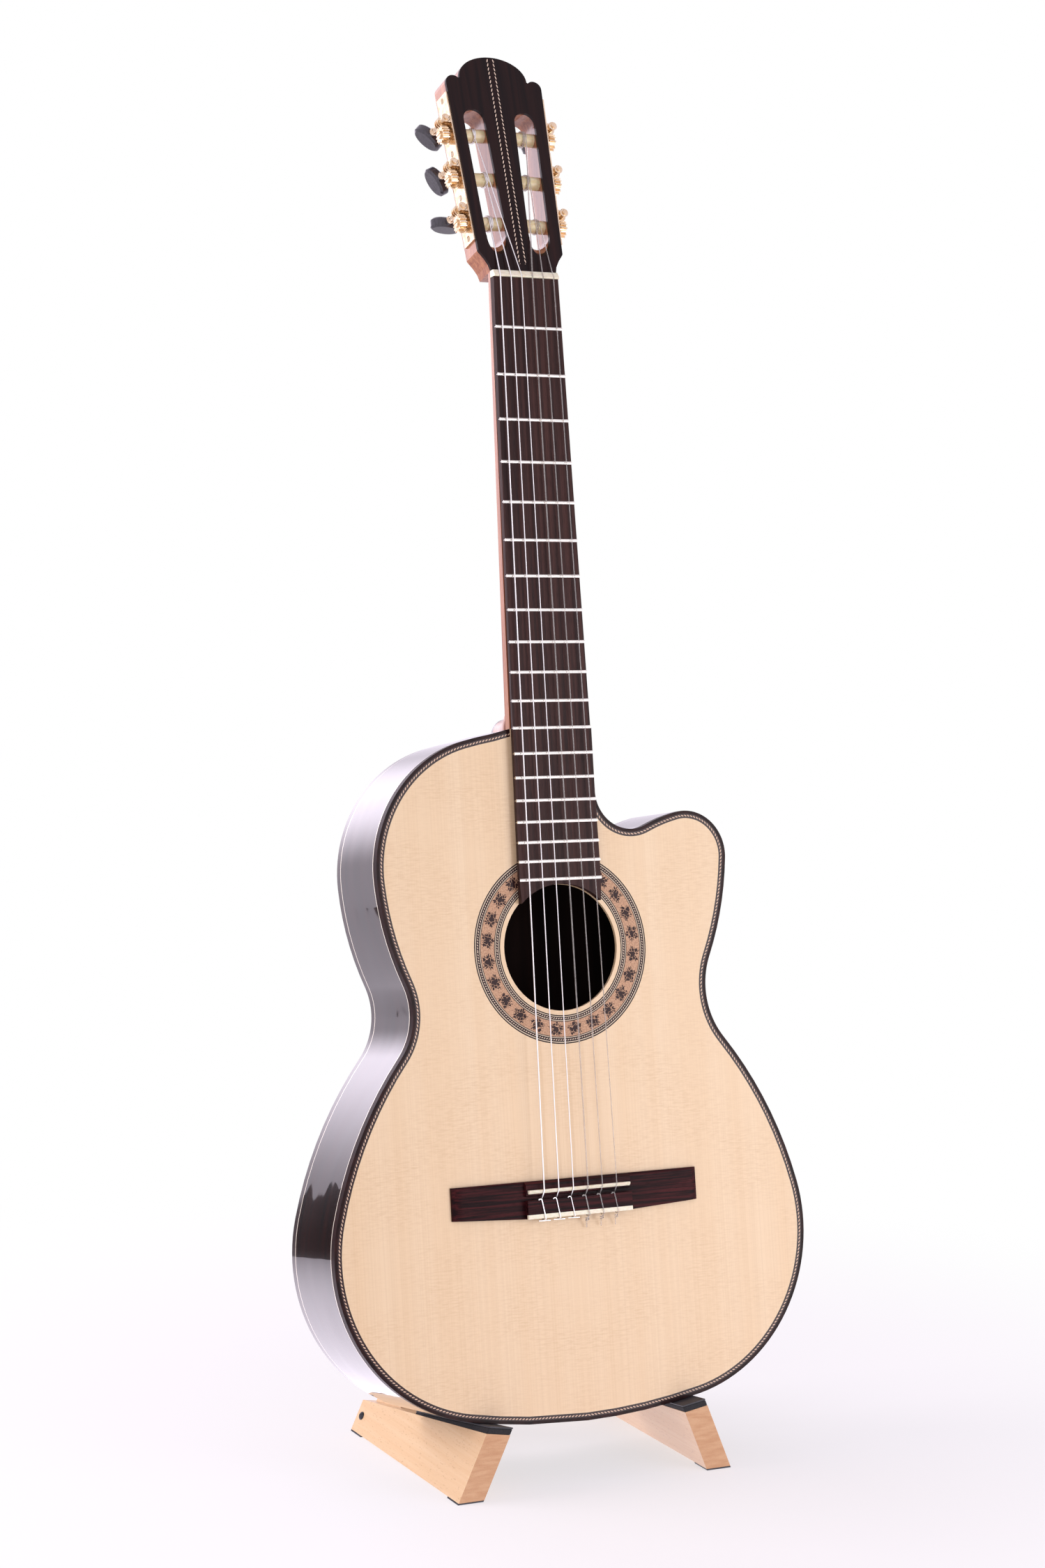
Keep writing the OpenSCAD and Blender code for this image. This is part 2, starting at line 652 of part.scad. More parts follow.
// ---- Strings: wound on the roller, over nut and saddle, through the tie block and back over it ----
wind_turns = 2.25;
wind_step = 36;
function string_path(i) =
    let (r = string_r[i],
        side = string_side(i),
        y = roller_y(string_row[i]),
        wr = roller_r + pass_gap + r,
        x0 = (string_leave[i] - head_side_0 - y * sin(head_flare)) / cos(head_flare),
        drop = nut_string_z(i) - head_drop - roller_z - wr,
        rise = atan(drop / y),
        sx = saddle_x(i),
        over = tie_z + r + fine)
    concat(
        [for (a = [wind_turns * 360:-wind_step:0])
            from_tuner(side, [x0 - a / 360 * (2 * r + 0.2),
                y + wr * cos(90 - rise - a), roller_z + wr * sin(90 - rise - a)])],
        [[nut_x(i), nut_rest, nut_string_z(i)],
        [nut_x(i), 0, nut_string_z(i)],
        [sx, saddle_y + saddle_crown[1], saddle_z + r + fine],
        [sx, saddle_y + saddle_crown[0], saddle_z + r + fine],
        [sx, tie_front + 0.4, bore_z + 0.12],
        [sx, bridge_rear - 0.3, bore_z],
        [sx + 0.2, bridge_rear - r - 0.7, bore_z + 0.6],
        [sx + 0.4, bridge_rear - r - 0.5, tie_z - 0.4],
        [sx + 0.6, bridge_rear - 0.1, over + 0.1],
        [sx - 0.6, (bridge_rear + tie_front) / 2, over],
        [sx - 1.7, tie_front - 0.6, over],
        [sx - 2.1, tie_front + r + 0.3, tie_z - 0.5]]);
module strings() color("#d8d8dc") guitar_frame() for (i = [0:5]) tube(string_path(i), string_r[i]);

// ---- Tuning machines ----
plate_y = 24;
ear_t = 2.4;
ear_gap = 2 * worm_r + 3.4;
plate_edge = roller_z - plate_h / 2;
module tuner_plate(side) guitar_frame() tuner_frame(side) difference() {
    union() {
        translate([0, plate_y, plate_edge]) cube([plate_t, plate_len, plate_h]);
        // Two ears hold each worm
        for (k = [0:2], end = [-1, 1])
            translate([0, roller_y(k) + axis_gap, roller_z + end * (ear_gap + ear_t) / 2]) {
                translate([plate_t / 2, -2.6, -ear_t / 2]) cube([worm_x - plate_t / 2, 5.2, ear_t]);
                translate([worm_x, 0, -ear_t / 2]) cylinder(r = 2.6, h = ear_t, $fn = 48);
            }
    }
    for (k = [0:2]) {
        translate([-1, roller_y(k), roller_z]) rotate([0, 90, 0])
            cylinder(r = axle_r + turn_gap, h = plate_t + 2, $fn = 48);
        translate([worm_x, roller_y(k) + axis_gap, plate_edge - 20])
            cylinder(r = shaft_r + turn_gap, h = plate_h + 40, $fn = 48);
    }
    for (y = screw_places) translate([-1, y, roller_z]) rotate([0, 90, 0])
        cylinder(r = screw_r, h = plate_t + 2, $fn = 32);
}
screw_r = 1;
screw_head_r = 2.2;
screw_places = [plate_y + 4, roller_y(0) + axis_gap + 10.5, roller_y(1) + axis_gap + 10.5, plate_y + plate_len - 4];
module tuner_plate_bass() color("#c9a55a") tuner_plate(-1);
module tuner_plate_treble() color("#c9a55a") tuner_plate(1);
module plate_screws() color("#c9a55a") guitar_frame() for (side = [-1, 1], y = screw_places)
    tuner_frame(side) translate([0, y, roller_z]) rotate([0, 90, 0]) {
        cylinder(r = screw_r, h = plate_t, $fn = 32);
        translate([0, 0, plate_t]) intersection() {
            cylinder(r = screw_head_r, h = 1, $fn = 32);
            translate([0, 0, -2.4]) sphere(r = 3.3, $fn = 48);
        }
    }

// Machine number n serves string n, counted from the bass side
function machine_side(n) = string_side(n - 1);
function machine_row(n) = string_row[n - 1];
module at_roller(n) guitar_frame() tuner_frame(machine_side(n))
    translate([0, roller_y(machine_row(n)), roller_z]) rotate([0, 90, 0]) children();

module roller(n) color("#e9d9b4") at_roller(n) difference() {
    reach = slot_in + slot_w / 2 + bear_in - pass_gap;
    translate([0, 0, -reach]) cylinder(r = roller_r, h = reach - pass_gap, $fn = 64);
    translate([0, 0, -reach - 1]) cylinder(r = axle_r, h = reach + 2, $fn = 48);
    translate([0, 0, -slot_in]) rotate([0, 90, 0]) translate([0, 0, -20]) cylinder(r = 0.8, h = 16, $fn = 24);
}
// Teeth narrow from the root to the tip, and leave the worm's thread some play
tooth_low = 0.76;
tooth_tip = 0.36;
tooth_sunk = 0.4;
gear_root_r = gear_r - 1.1 * gear_module;
module gear_2d() {
    union() {
        circle(r = gear_root_r, $fn = 60);
        for (i = [0:gear_teeth - 1]) rotate([0, 0, i * 360 / gear_teeth])
            polygon([[gear_root_r - tooth_sunk, -tooth_low], [gear_outer_r, -tooth_tip],
                [gear_outer_r, tooth_tip], [gear_root_r - tooth_sunk, tooth_low]]);
    }
}
gear_screw_r = 2.9;
gear_screw_h = 1.2;
module gear(n) color("#c7a052") at_roller(n) {
    reach = slot_in + slot_w / 2 + bear_in - pass_gap;
    z0 = worm_x - gear_t / 2;
    translate([0, 0, -reach]) cylinder(r = axle_r, h = reach + worm_x, $fn = 48);
    translate([0, 0, plate_t + pass_gap]) cylinder(r = gear_screw_r, h = worm_x - plate_t, $fn = 48);
    translate([0, 0, z0]) linear_extrude(gear_t) gear_2d();
    // Slotted screw that holds the gear
    translate([0, 0, z0 + gear_t]) difference() {
        translate([0, 0, -0.5]) cylinder(r = gear_screw_r, h = gear_screw_h + 0.5, $fn = 48);
        translate([-gear_screw_r - 1, -0.35, gear_screw_h / 2]) cube([2 * gear_screw_r + 2, 0.7, 5]);
    }
}

worm_len = ear_gap - 2 * pass_gap;
worm_core_r = axis_gap - gear_outer_r - pass_gap;
button_z = -32;
button_top = button_z + button_wide / 2 + 1;
cap_z = roller_z + ear_gap / 2 + ear_t + pass_gap;
collar_z = roller_z - ear_gap / 2 - ear_t - pass_gap;
shaft_front = cap_z + 1;
shaft_back = button_z + 3.5;

// The worm's thread: a ridge that climbs one tooth of the gear in each turn. At rest it lies in the space
// between two teeth, at the side that faces the gear.
thread_pitch = PI * gear_module;
thread_steps = 20;
thread_low = 0.6;
thread_tip = 0.34;
thread_sunk = 0.3;
space_turn = 360 / gear_teeth * (floor(90 * gear_teeth / 360) + 0.5) - 90;
space_z = gear_r * sin(space_turn);
module thread() {
    n = floor((worm_len / 2 - thread_low - abs(space_z)) / thread_pitch * thread_steps);
    ridge = [[worm_core_r - thread_sunk, -thread_low], [thread_out_r, -thread_tip],
        [thread_out_r, thread_tip], [worm_core_r - thread_sunk, thread_low]];
    polyhedron(
        points = [for (k = [-n:n], q = ridge)
            let (a = 270 + k * 360 / thread_steps)
            [q[0] * cos(a), q[0] * sin(a), q[1] + space_z + k * thread_pitch / thread_steps]],
        faces = concat(
            [[3, 2, 1, 0]],
            [for (k = [0:2 * n - 1], j = [0:3])
                let (a = 4 * k + j, b = 4 * k + (j + 1) % 4)
                [a, b, a + 4]],
            [for (k = [0:2 * n - 1], j = [0:3])
                let (a = 4 * k + j, b = 4 * k + (j + 1) % 4)
                [b, b + 4, a + 4]],
            [[8 * n, 8 * n + 1, 8 * n + 2, 8 * n + 3]]));
}
module at_worm(n) guitar_frame() tuner_frame(machine_side(n))
    translate([worm_x, roller_y(machine_row(n)) + axis_gap, 0]) children();
module worm(n) color("#cfa95c") at_worm(n) {
    translate([0, 0, shaft_back]) cylinder(r = shaft_r, h = shaft_front - shaft_back, $fn = 48);
    translate([0, 0, roller_z]) {
        translate([0, 0, -worm_len / 2]) cylinder(r = worm_core_r, h = worm_len, $fn = 48);
        thread();
    }
    // Turned finial in front of the front ear
    translate([0, 0, cap_z]) rotate_extrude($fn = 48) polygon([[0, 0], [2.6, 0], [3.2, 0.5], [3.2, 1.3], [2.7, 1.9],
        [1.6, 1.9], [1.9, 2.5], [1.9, 3], [1.4, 3.6], [0, 3.9]]);
    // Collar behind the rear ear, and the ferrule that bears on the button
    translate([0, 0, button_top]) rotate_extrude($fn = 48) polygon([[0, 0], [2.2, 0], [2.9, 1], [2.9, 2], [2.3, 3],
        [1.9, 3.4], [1.9, collar_z - button_top - 1.4], [2.5, collar_z - button_top - 0.7],
        [2.5, collar_z - button_top], [0, collar_z - button_top]]);
}
button_turn = [8, 64, 46, 20, 75, 130];
button_edge = 1.5;
function oval(a, b) = [for (t = [0:9:351]) [a * cos(t), b * sin(t)]];
module button(n) color("#1d1b1f") at_worm(n) translate([0, 0, button_z]) rotate([0, 0, button_turn[n - 1]])
    difference() {
        union() {
            hull() for (e = [0, button_edge]) rotate([90, 0, 0])
                linear_extrude(button_t - 2 * button_edge + 2 * e, center = true)
                    polygon(oval(button_len / 2 - e, button_wide / 2 - e));
            cylinder(r = 2.6, h = button_top - button_z, $fn = 32);
        }
        cylinder(r = shaft_r, h = 20, $fn = 48);
    }

// ---- Stand ----
foot_t = sheet_t;
module arm_prism(z0, z1) {
    // The arm's board without its top cut, between two heights
    intersection() {
        rotate([0, -splay, 0]) translate([-board_t, 0, -50]) cube([board_t, arm_len, 300]);
        translate([-big / 2, -10, z0]) cube([big, arm_len + 20, z1 - z0]);
    }
}
// Everything above the arm's top plane raised by up, and above the plane that the tail rests on
module above_arm(up) {
    translate([rest_x - stand_half, 0, arm_h + up]) rotate([-arm_slope, 0, 0]) rotate([0, -rest_tilt, 0])
        translate([-arm_len, -past, 0]) cube([2 * arm_len, 2 * arm_len, arm_len]);
}
module above_rest(down) {
    translate([rest_x - stand_half, 0, arm_h + pad_t - down]) rotate([-lean, 0, 0]) rotate([0, -rest_tilt, 0])
        translate([-arm_len, -past, 0]) cube([2 * arm_len, 2 * arm_len, arm_len]);
}
module floor_side(side) {
    mirror([side < 0 ? 1 : 0, 0, 0]) translate([stand_half, front_y, 0]) children();
}
bolt_y = arm_len - 7.5;
bolt_z = 13.8;
bolt_len = 19;
bolt_head_t = 1.6;
lap = board_t / 2;
module bolt_shape(grow) {
    rotate([0, -splay, 0]) translate([0, bolt_y, bolt_z]) rotate([0, 90, 0]) {
        translate([0, 0, -bolt_len]) cylinder(r = bolt_r + grow, h = bolt_len + bolt_head_t / 2, $fn = 48);
    }
}

// The leg's foot is let into the inner half of the arm
module arm(side) floor_side(side) difference() {
    arm_prism(foot_t, 90);
    above_arm(0);
    leg_board(0);
    bolt_shape(0);
}
module arm_left() color("#e3b583") arm(-1);
module arm_right() color("#e3b583") arm(1);

module arm_pad(side) floor_side(side) intersection() {
    difference() {
        arm_prism(foot_t, 120);
        above_rest(sheet_t);
    }
    above_arm(0);
    translate([-100, -1, 0]) cube([200, pad_len + 1, 200]);
}
module arm_pad_left() color("#1c1b1d") arm_pad(-1);
module arm_pad_right() color("#1c1b1d") arm_pad(1);

strip_len = 18;
module arm_rubber(side) floor_side(side) {
    intersection() {
        difference() {
            arm_prism(foot_t, 120);
            above_rest(0);
        }
        above_rest(sheet_t);
        translate([-100, -1, 0]) cube([200, pad_len + 1, 200]);
    }
    for (y = [0, arm_len - strip_len])
        difference() {
            intersection() {
                arm_prism(0, foot_t);
                translate([-100, y, -1]) cube([200, strip_len, 50]);
            }
            leg_board(0);
        }
}
module arm_rubber_left() color("#2b2a2d") arm_rubber(-1);
module arm_rubber_right() color("#2b2a2d") arm_rubber(1);

// Legs: rear edge flush with the arm's rear at the floor, front edge near the guitar's back at the top
back_high = leg_top - 18;
back_at = let (y = (back_high - nut_high - top_z * sin(lean) + tail_depth * sin(lean)) / cos(lean),
        d = tail_depth - (y - tail_y) * tan(back_tilt))
    nut_ahead + y * sin(lean) - (top_z - d) * cos(lean);
rest_pad_t = 5;
leg_back_gap = 3;
leg_rake = atan((arm_len - leg_w - back_at - rest_pad_t) / (back_high / cos(splay)));
module leg_board(ahead) {
    front = arm_len - leg_w - ahead;
    rear = ahead > 0 ? front + ahead : arm_len;
    up = 2 * leg_top;
    slip = up * tan(leg_rake);
    rotate([0, -splay, 0]) translate([-lap - board_t, 0, 0]) rotate([90, 0, 90]) linear_extrude(board_t)
        polygon([[front, 0], [rear, 0], [rear - slip, up], [front - slip, up]]);
}
module leg_zone(z0, z1) {
    translate([-stand_half + pass_gap / 2, -big / 2, z0]) cube([big, big, z1 - z0]);
}

hinge_a = 2.2;
hinge_len = 32;
leaf_t = 1;
leaf_w = 20;
knuckle_r = 2;
pin_r = 1.1;
pin_over = 0.6;
inner_x = stand_half - (lap + board_t) / cos(splay);
hinge_z = inner_x / tan(splay) - hinge_a / sin(splay);
hinge_along = stand_half * sin(splay) + hinge_z * cos(splay);
hinge_y = arm_len - leg_w / 2 - hinge_along * tan(leg_rake);
third = hinge_len / 3;
module hinge_rod(r, y0, len) {
    translate([-stand_half, hinge_y + y0, hinge_z]) rotate([-90, 0, 0]) cylinder(r = r, h = len, $fn = 48);
}
module leg(side) floor_side(side) difference() {
    intersection() {
        leg_board(0);
        leg_zone(foot_t, leg_top);
    }
    bolt_shape(0);
    // Room for the hinge's barrel
    hinge_rod(knuckle_r + pass_gap, -hinge_len / 2 - 1, hinge_len + 2);
    // The top is planed back behind the pad
    translate([-stand_half, -front_y, 0]) guitar_frame() above_back(-leg_back_gap);
}
module leg_left() color("#e3b583") leg(-1);
module leg_right() color("#e3b583") leg(1);

leaf_clear = 0.5;
module leaf() {
    rotate([0, -splay, 0])
        translate([-lap - board_t - leaf_t, hinge_y - hinge_len / 2 + leaf_clear, hinge_along - leaf_w])
            cube([leaf_t, hinge_len - 2 * leaf_clear, leaf_w]);
}
module bolt() {
    difference() {
        bolt_shape(0);
        rotate([0, -splay, 0]) cube([40, arm_len, 60]);
    }
    rotate([0, -splay, 0]) translate([0, bolt_y, bolt_z]) rotate([0, 90, 0]) intersection() {
        cylinder(r = 3, h = bolt_head_t, $fn = 48);
        translate([0, 0, -2.4]) sphere(r = 4.2, $fn = 64);
    }
}
module leg_hardware_left() color("#8f8f93") floor_side(-1) {
    bolt();
    difference() {
        union() {
            leaf();
            hinge_rod(knuckle_r, -hinge_len / 2, hinge_len);
        }
        hinge_rod(knuckle_r + pass_gap, -third / 2 - pass_gap, third + 2 * pass_gap);
    }
    hinge_rod(pin_r, -hinge_len / 2 - pin_over, hinge_len + 2 * pin_over);
}
module leg_hardware_right() color("#8f8f93") floor_side(1) {
    bolt();
    difference() {
        union() {
            leaf();
            hinge_rod(knuckle_r, -third / 2, third);
        }
        hinge_rod(knuckle_r + pass_gap, -hinge_len, hinge_len - third / 2);
        hinge_rod(knuckle_r + pass_gap, third / 2, hinge_len);
        hinge_rod(pin_r + turn_gap, -hinge_len, 2 * hinge_len);
    }
}

module leg_pads(side) floor_side(side) {
    intersection() {
        leg_board(0);
        leg_zone(0, foot_t);
    }
    // Pad on the leg's front edge, cut to the slope of the guitar's back
    intersection() {
        difference() {
            leg_board(rest_pad_t * 2);
            translate([-stand_half, -front_y, 0]) guitar_frame() above_back(-seat_gap);
        }
        leg_zone(leg_top - 34, leg_top - 4);
    }
}
module leg_pads_left() color("#1c1b1d") leg_pads(-1);
module leg_pads_right() color("#1c1b1d") leg_pads(1);

soundboard();
rosette();
back_plate();
side_bass();
side_treble();
linings();
braces();
bindings();
purfling();
neck();
heel_cap();
head_veneer();
head_inlay();
fretboard();
frets();
nut();
bridge();
saddle();
tie_bone();
strings();
tuner_plate_bass();
tuner_plate_treble();
plate_screws();
for (n = [1:6]) {
    roller(n);
    gear(n);
    worm(n);
    button(n);
}
leg_left();
leg_right();
leg_hardware_left();
leg_hardware_right();
leg_pads_left();
leg_pads_right();
arm_left();
arm_right();
arm_pad_left();
arm_pad_right();
arm_rubber_left();
arm_rubber_right();
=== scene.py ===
"""Finishes, strings, pads, light and camera for a classical cutaway guitar on a folding wooden stand."""
import json
import math

import bmesh
import bpy
from mathutils import Matrix, Vector


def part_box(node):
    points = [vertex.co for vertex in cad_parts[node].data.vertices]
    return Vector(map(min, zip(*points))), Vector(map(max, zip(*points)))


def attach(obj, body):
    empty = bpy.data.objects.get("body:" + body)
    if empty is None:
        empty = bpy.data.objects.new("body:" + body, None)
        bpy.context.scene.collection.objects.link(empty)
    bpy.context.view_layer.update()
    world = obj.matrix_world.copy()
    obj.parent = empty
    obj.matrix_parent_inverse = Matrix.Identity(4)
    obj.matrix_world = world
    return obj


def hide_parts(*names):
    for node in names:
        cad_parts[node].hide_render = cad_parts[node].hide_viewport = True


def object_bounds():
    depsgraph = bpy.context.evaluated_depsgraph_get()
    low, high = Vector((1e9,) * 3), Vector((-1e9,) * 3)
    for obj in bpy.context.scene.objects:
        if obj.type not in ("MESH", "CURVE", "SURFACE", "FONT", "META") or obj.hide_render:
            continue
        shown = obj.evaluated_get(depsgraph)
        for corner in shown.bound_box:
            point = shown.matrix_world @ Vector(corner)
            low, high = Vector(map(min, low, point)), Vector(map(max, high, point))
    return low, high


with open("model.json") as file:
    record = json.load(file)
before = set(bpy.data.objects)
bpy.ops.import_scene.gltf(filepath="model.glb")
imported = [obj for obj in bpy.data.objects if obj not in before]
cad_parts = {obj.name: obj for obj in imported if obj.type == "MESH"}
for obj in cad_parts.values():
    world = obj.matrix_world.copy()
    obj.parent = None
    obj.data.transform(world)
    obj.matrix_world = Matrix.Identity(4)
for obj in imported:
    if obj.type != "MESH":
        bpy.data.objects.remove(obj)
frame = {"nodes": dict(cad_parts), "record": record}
cad_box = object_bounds()

MM = 0.001
NODES = frame["nodes"]
BODY_OF_NODE = {node: body for body, members in frame["record"]["behaviour"]["bodies"].items()
                for node in members}
SIDES = ("left", "right")
STRING_NUMBERS = range(1, 7)

# ---- Sizes of the guitar, in mm, in its own frame: X to the treble side, Y up the neck and Z out of
# the fretboard, from the middle of the nut's front edge ----
LEAN = math.radians(10)
SCALE_LENGTH = 650
FRETBOARD_T = 5.5
NUT_T = 5
# The soundboard's face, and the neck's joint with the body at the twelfth fret
TOP_Z = -FRETBOARD_T
HEEL_Y = -SCALE_LENGTH / 2
# Half the width and the length of the neck's foot, which breaks the body's rim
NECK_FOOT = (34, 6)
BODY_LENGTH = 490.6
TAIL_Y = HEEL_Y - BODY_LENGTH
TAIL_DEPTH = 79.5
HEEL_DEPTH = 67.5
BINDING_H = 6
PURFLING_W = 3.2
HOLE_Y = HEEL_Y - 156.7
HOLE_R = 45
# How far the fretboard's free end stays clear of the soundhole in the CAD, and here
FRETBOARD_CLEAR = 2.2
FRETBOARD_SEAT = 0.1
ROSETTE_MIDDLE = 58.2
ROSETTE_FLOWERS = 24
# The head's face is tilted back. It starts behind the nut, below the fretboard's face
HEAD_ANGLE = math.radians(12)
HEAD_DROP = -2.7
# Its sides widen by this angle from the lower corners, which have this half width and place
HEAD_FLARE = math.radians(2.1)
HEAD_HALF = 34
HEAD_CORNER_Y = 15.5
HEAD_INLAY_X = 2.4
# Angle by which each half of the stand stands open
SPLAY = math.radians(23.5)

fretboard_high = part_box("fretboard")[1]
guitar_origin = Vector((0, fretboard_high.y - FRETBOARD_T * MM * math.cos(LEAN), fretboard_high.z))
guitar_place = Matrix.Translation(guitar_origin) @ Matrix.Rotation(math.pi / 2 - LEAN, 4, "X")
head_place = (guitar_place @ Matrix.Translation(Vector((0, NUT_T, HEAD_DROP)) * MM)
              @ Matrix.Rotation(-HEAD_ANGLE, 4, "X"))
hole_place = guitar_place @ Matrix.Translation(Vector((0, HOLE_Y, TOP_Z)) * MM)
board_place = {side: Matrix.Rotation(turn * SPLAY, 4, "Y") for side, turn in zip(SIDES, (1, -1))}
to_guitar = guitar_place.inverted()


# ---- Nodes and patterns ----
def colour(code):
    """An sRGB hex colour as linear RGBA."""
    channels = [int(code[i:i + 2], 16) / 255 for i in (0, 2, 4)]
    return (*(c / 12.92 if c <= 0.04045 else ((c + 0.055) / 1.055) ** 2.4 for c in channels), 1)


def add(tree, kind, inputs=(), out=0, **settings):
    """Adds a node with its settings and its inputs, which are values or other nodes' outputs."""
    node = tree.nodes.new("ShaderNode" + kind)
    for name, value in settings.items():
        setattr(node, name, value)
    for key, value in inputs.items() if isinstance(inputs, dict) else enumerate(inputs):
        if isinstance(value, bpy.types.NodeSocket):
            tree.links.new(value, node.inputs[key])
        else:
            node.inputs[key].default_value = value
    return node.outputs[out] if node.outputs else node


def blank_material(name):
    """A new material with an empty node tree."""
    made = bpy.data.materials.new(name)
    made.use_nodes = True
    made.node_tree.nodes.clear()
    return made


def own_mm(tree, place):
    """The point on the piece in the frame of this place, in mm."""
    return add(tree, "Mapping", [add(tree, "TexCoord", out="Object"), place.to_translation(),
                                 place.to_euler(), (MM, MM, MM)], vector_type="TEXTURE")


def streaks(tree, point, size, low=0.35, high=0.65, detail=2, distortion=0):
    """Random streaks from 0 to 1 that are this many mm long along each axis."""
    stretched = add(tree, "VectorMath", [point, size], operation="DIVIDE")
    noise = add(tree, "TexNoise", {"Vector": stretched, "Scale": 1, "Detail": detail,
                                   "Distortion": distortion})
    return add(tree, "MapRange", [noise, low, high])


def laid(tree, under, over, pattern, share=1):
    """A colour with another laid over it where the pattern is 1, at this share. The colours are hex
    codes or nodes' outputs."""
    if share != 1:
        pattern = add(tree, "Math", [pattern, share], operation="MULTIPLY")
    under, over = (colour(tone) if isinstance(tone, str) else tone for tone in (under, over))
    return add(tree, "Mix", {0: pattern, 6: under, 7: over}, out=2, data_type="RGBA")


def between(tree, value, low, high):
    """1 where the value lies between low and high, and 0 elsewhere."""
    above = add(tree, "Math", [value, low], operation="GREATER_THAN")
    below = add(tree, "Math", [value, high], operation="LESS_THAN")
    return add(tree, "Math", [above, below], operation="MULTIPLY")


def rope(tree, along, across, pitch, width, slant):
    """1 on the slanted beads of a rope inlay that runs along one coordinate. A bead is 0.6 of the
    pitch long."""
    slanted = add(tree, "Math", [across, slant / pitch], operation="MULTIPLY")
    turns = add(tree, "Math", [along, 1 / pitch, slanted], operation="MULTIPLY_ADD")
    place = add(tree, "Math", [add(tree, "Math", [turns], operation="FRACT"), 0.5], operation="SUBTRACT")
    length = add(tree, "Math", [add(tree, "Math", [place, 0.3], operation="DIVIDE"), 2], operation="POWER")
    breadth = add(tree, "Math", [add(tree, "Math", [across, width / 2], operation="DIVIDE"), 2],
                  operation="POWER")
    return add(tree, "Math", [add(tree, "Math", [length, breadth], operation="ADD"), 1],
               operation="LESS_THAN")


def leafy(tree, point, across, outward):
    """1 on a flower of five leaves with jagged edges, about 11 mm wide, split by thin gaps."""
    flower = add(tree, "CombineXYZ", [across, outward, 0])
    spread = add(tree, "VectorMath", [flower], out=1, operation="LENGTH")
    angle = add(tree, "Math", [outward, across], operation="ARCTAN2")
    # Its reach in mm, with waves for the leaves and the teeth on their edges
    reach = 3.65
    for count, start, height in ((5, 1.57, 0.75), (17, 0.6, 0.5)):
        wave = add(tree, "Math", [angle, count, start], operation="MULTIPLY_ADD")
        reach = add(tree, "Math", [add(tree, "Math", [wave], operation="COSINE"), height, reach],
                    operation="MULTIPLY_ADD")
    ragged = streaks(tree, point, (1.1, 1.1, 1), 0.3, 0.7)
    reach = add(tree, "Math", [ragged, 1.5, reach], operation="MULTIPLY_ADD")
    inside = add(tree, "Math", [spread, reach], operation="LESS_THAN")
    cell_point = add(tree, "VectorMath", [point, (2.6, 2.6, 1)], operation="DIVIDE")
    cells = add(tree, "TexVoronoi", {"Vector": cell_point, "Scale": 1}, feature="DISTANCE_TO_EDGE")
    leaf = add(tree, "Math", [cells, 0.045], operation="GREATER_THAN")
    heart = add(tree, "Math", [spread, 1.6], operation="LESS_THAN")
    solid = add(tree, "Math", [leaf, heart], operation="MAXIMUM")
    return add(tree, "Math", [inside, solid], operation="MULTIPLY")


# ---- Finishes: what each one's Principled shader takes ----
def spruce(tree):
    # Lacquered spruce, cut on the quarter and opened like a book: pale beige, with fine straight year
    # rings, slow darker bands and, across them, patches of silk ripples
    x, y, _ = add(tree, "SeparateXYZ", [own_mm(tree, guitar_place)]).node.outputs
    half = add(tree, "Math", [x], operation="ABSOLUTE")
    book = add(tree, "CombineXYZ", [half, y, 0])
    bands = streaks(tree, book, (16, 900, 1), 0.3, 0.7)
    rings = streaks(tree, book, (0.8, 500, 1), 0.4, 0.7, detail=1)
    ripples = streaks(tree, book, (7, 1.2, 1), 0.4, 0.7, detail=3, distortion=0.4)
    patches = streaks(tree, book, (60, 50, 1), 0.3, 0.6)
    silk = add(tree, "Math", [ripples, patches], operation="MULTIPLY")
    wood = laid(tree, "EBCDA9", "E8C7A0", bands)
    wood = laid(tree, wood, "D2AD82", rings, 0.22)
    wood = laid(tree, wood, "D6B188", silk, 0.55)
    return {"Base Color": wood, "Roughness": 0.4, "IOR": 1.5, "Coat Weight": 0.2, "Coat Roughness": 0.2,
            "Normal": add(tree, "Bump", {"Strength": 1, "Distance": 0.01 * MM, "Height": rings})}


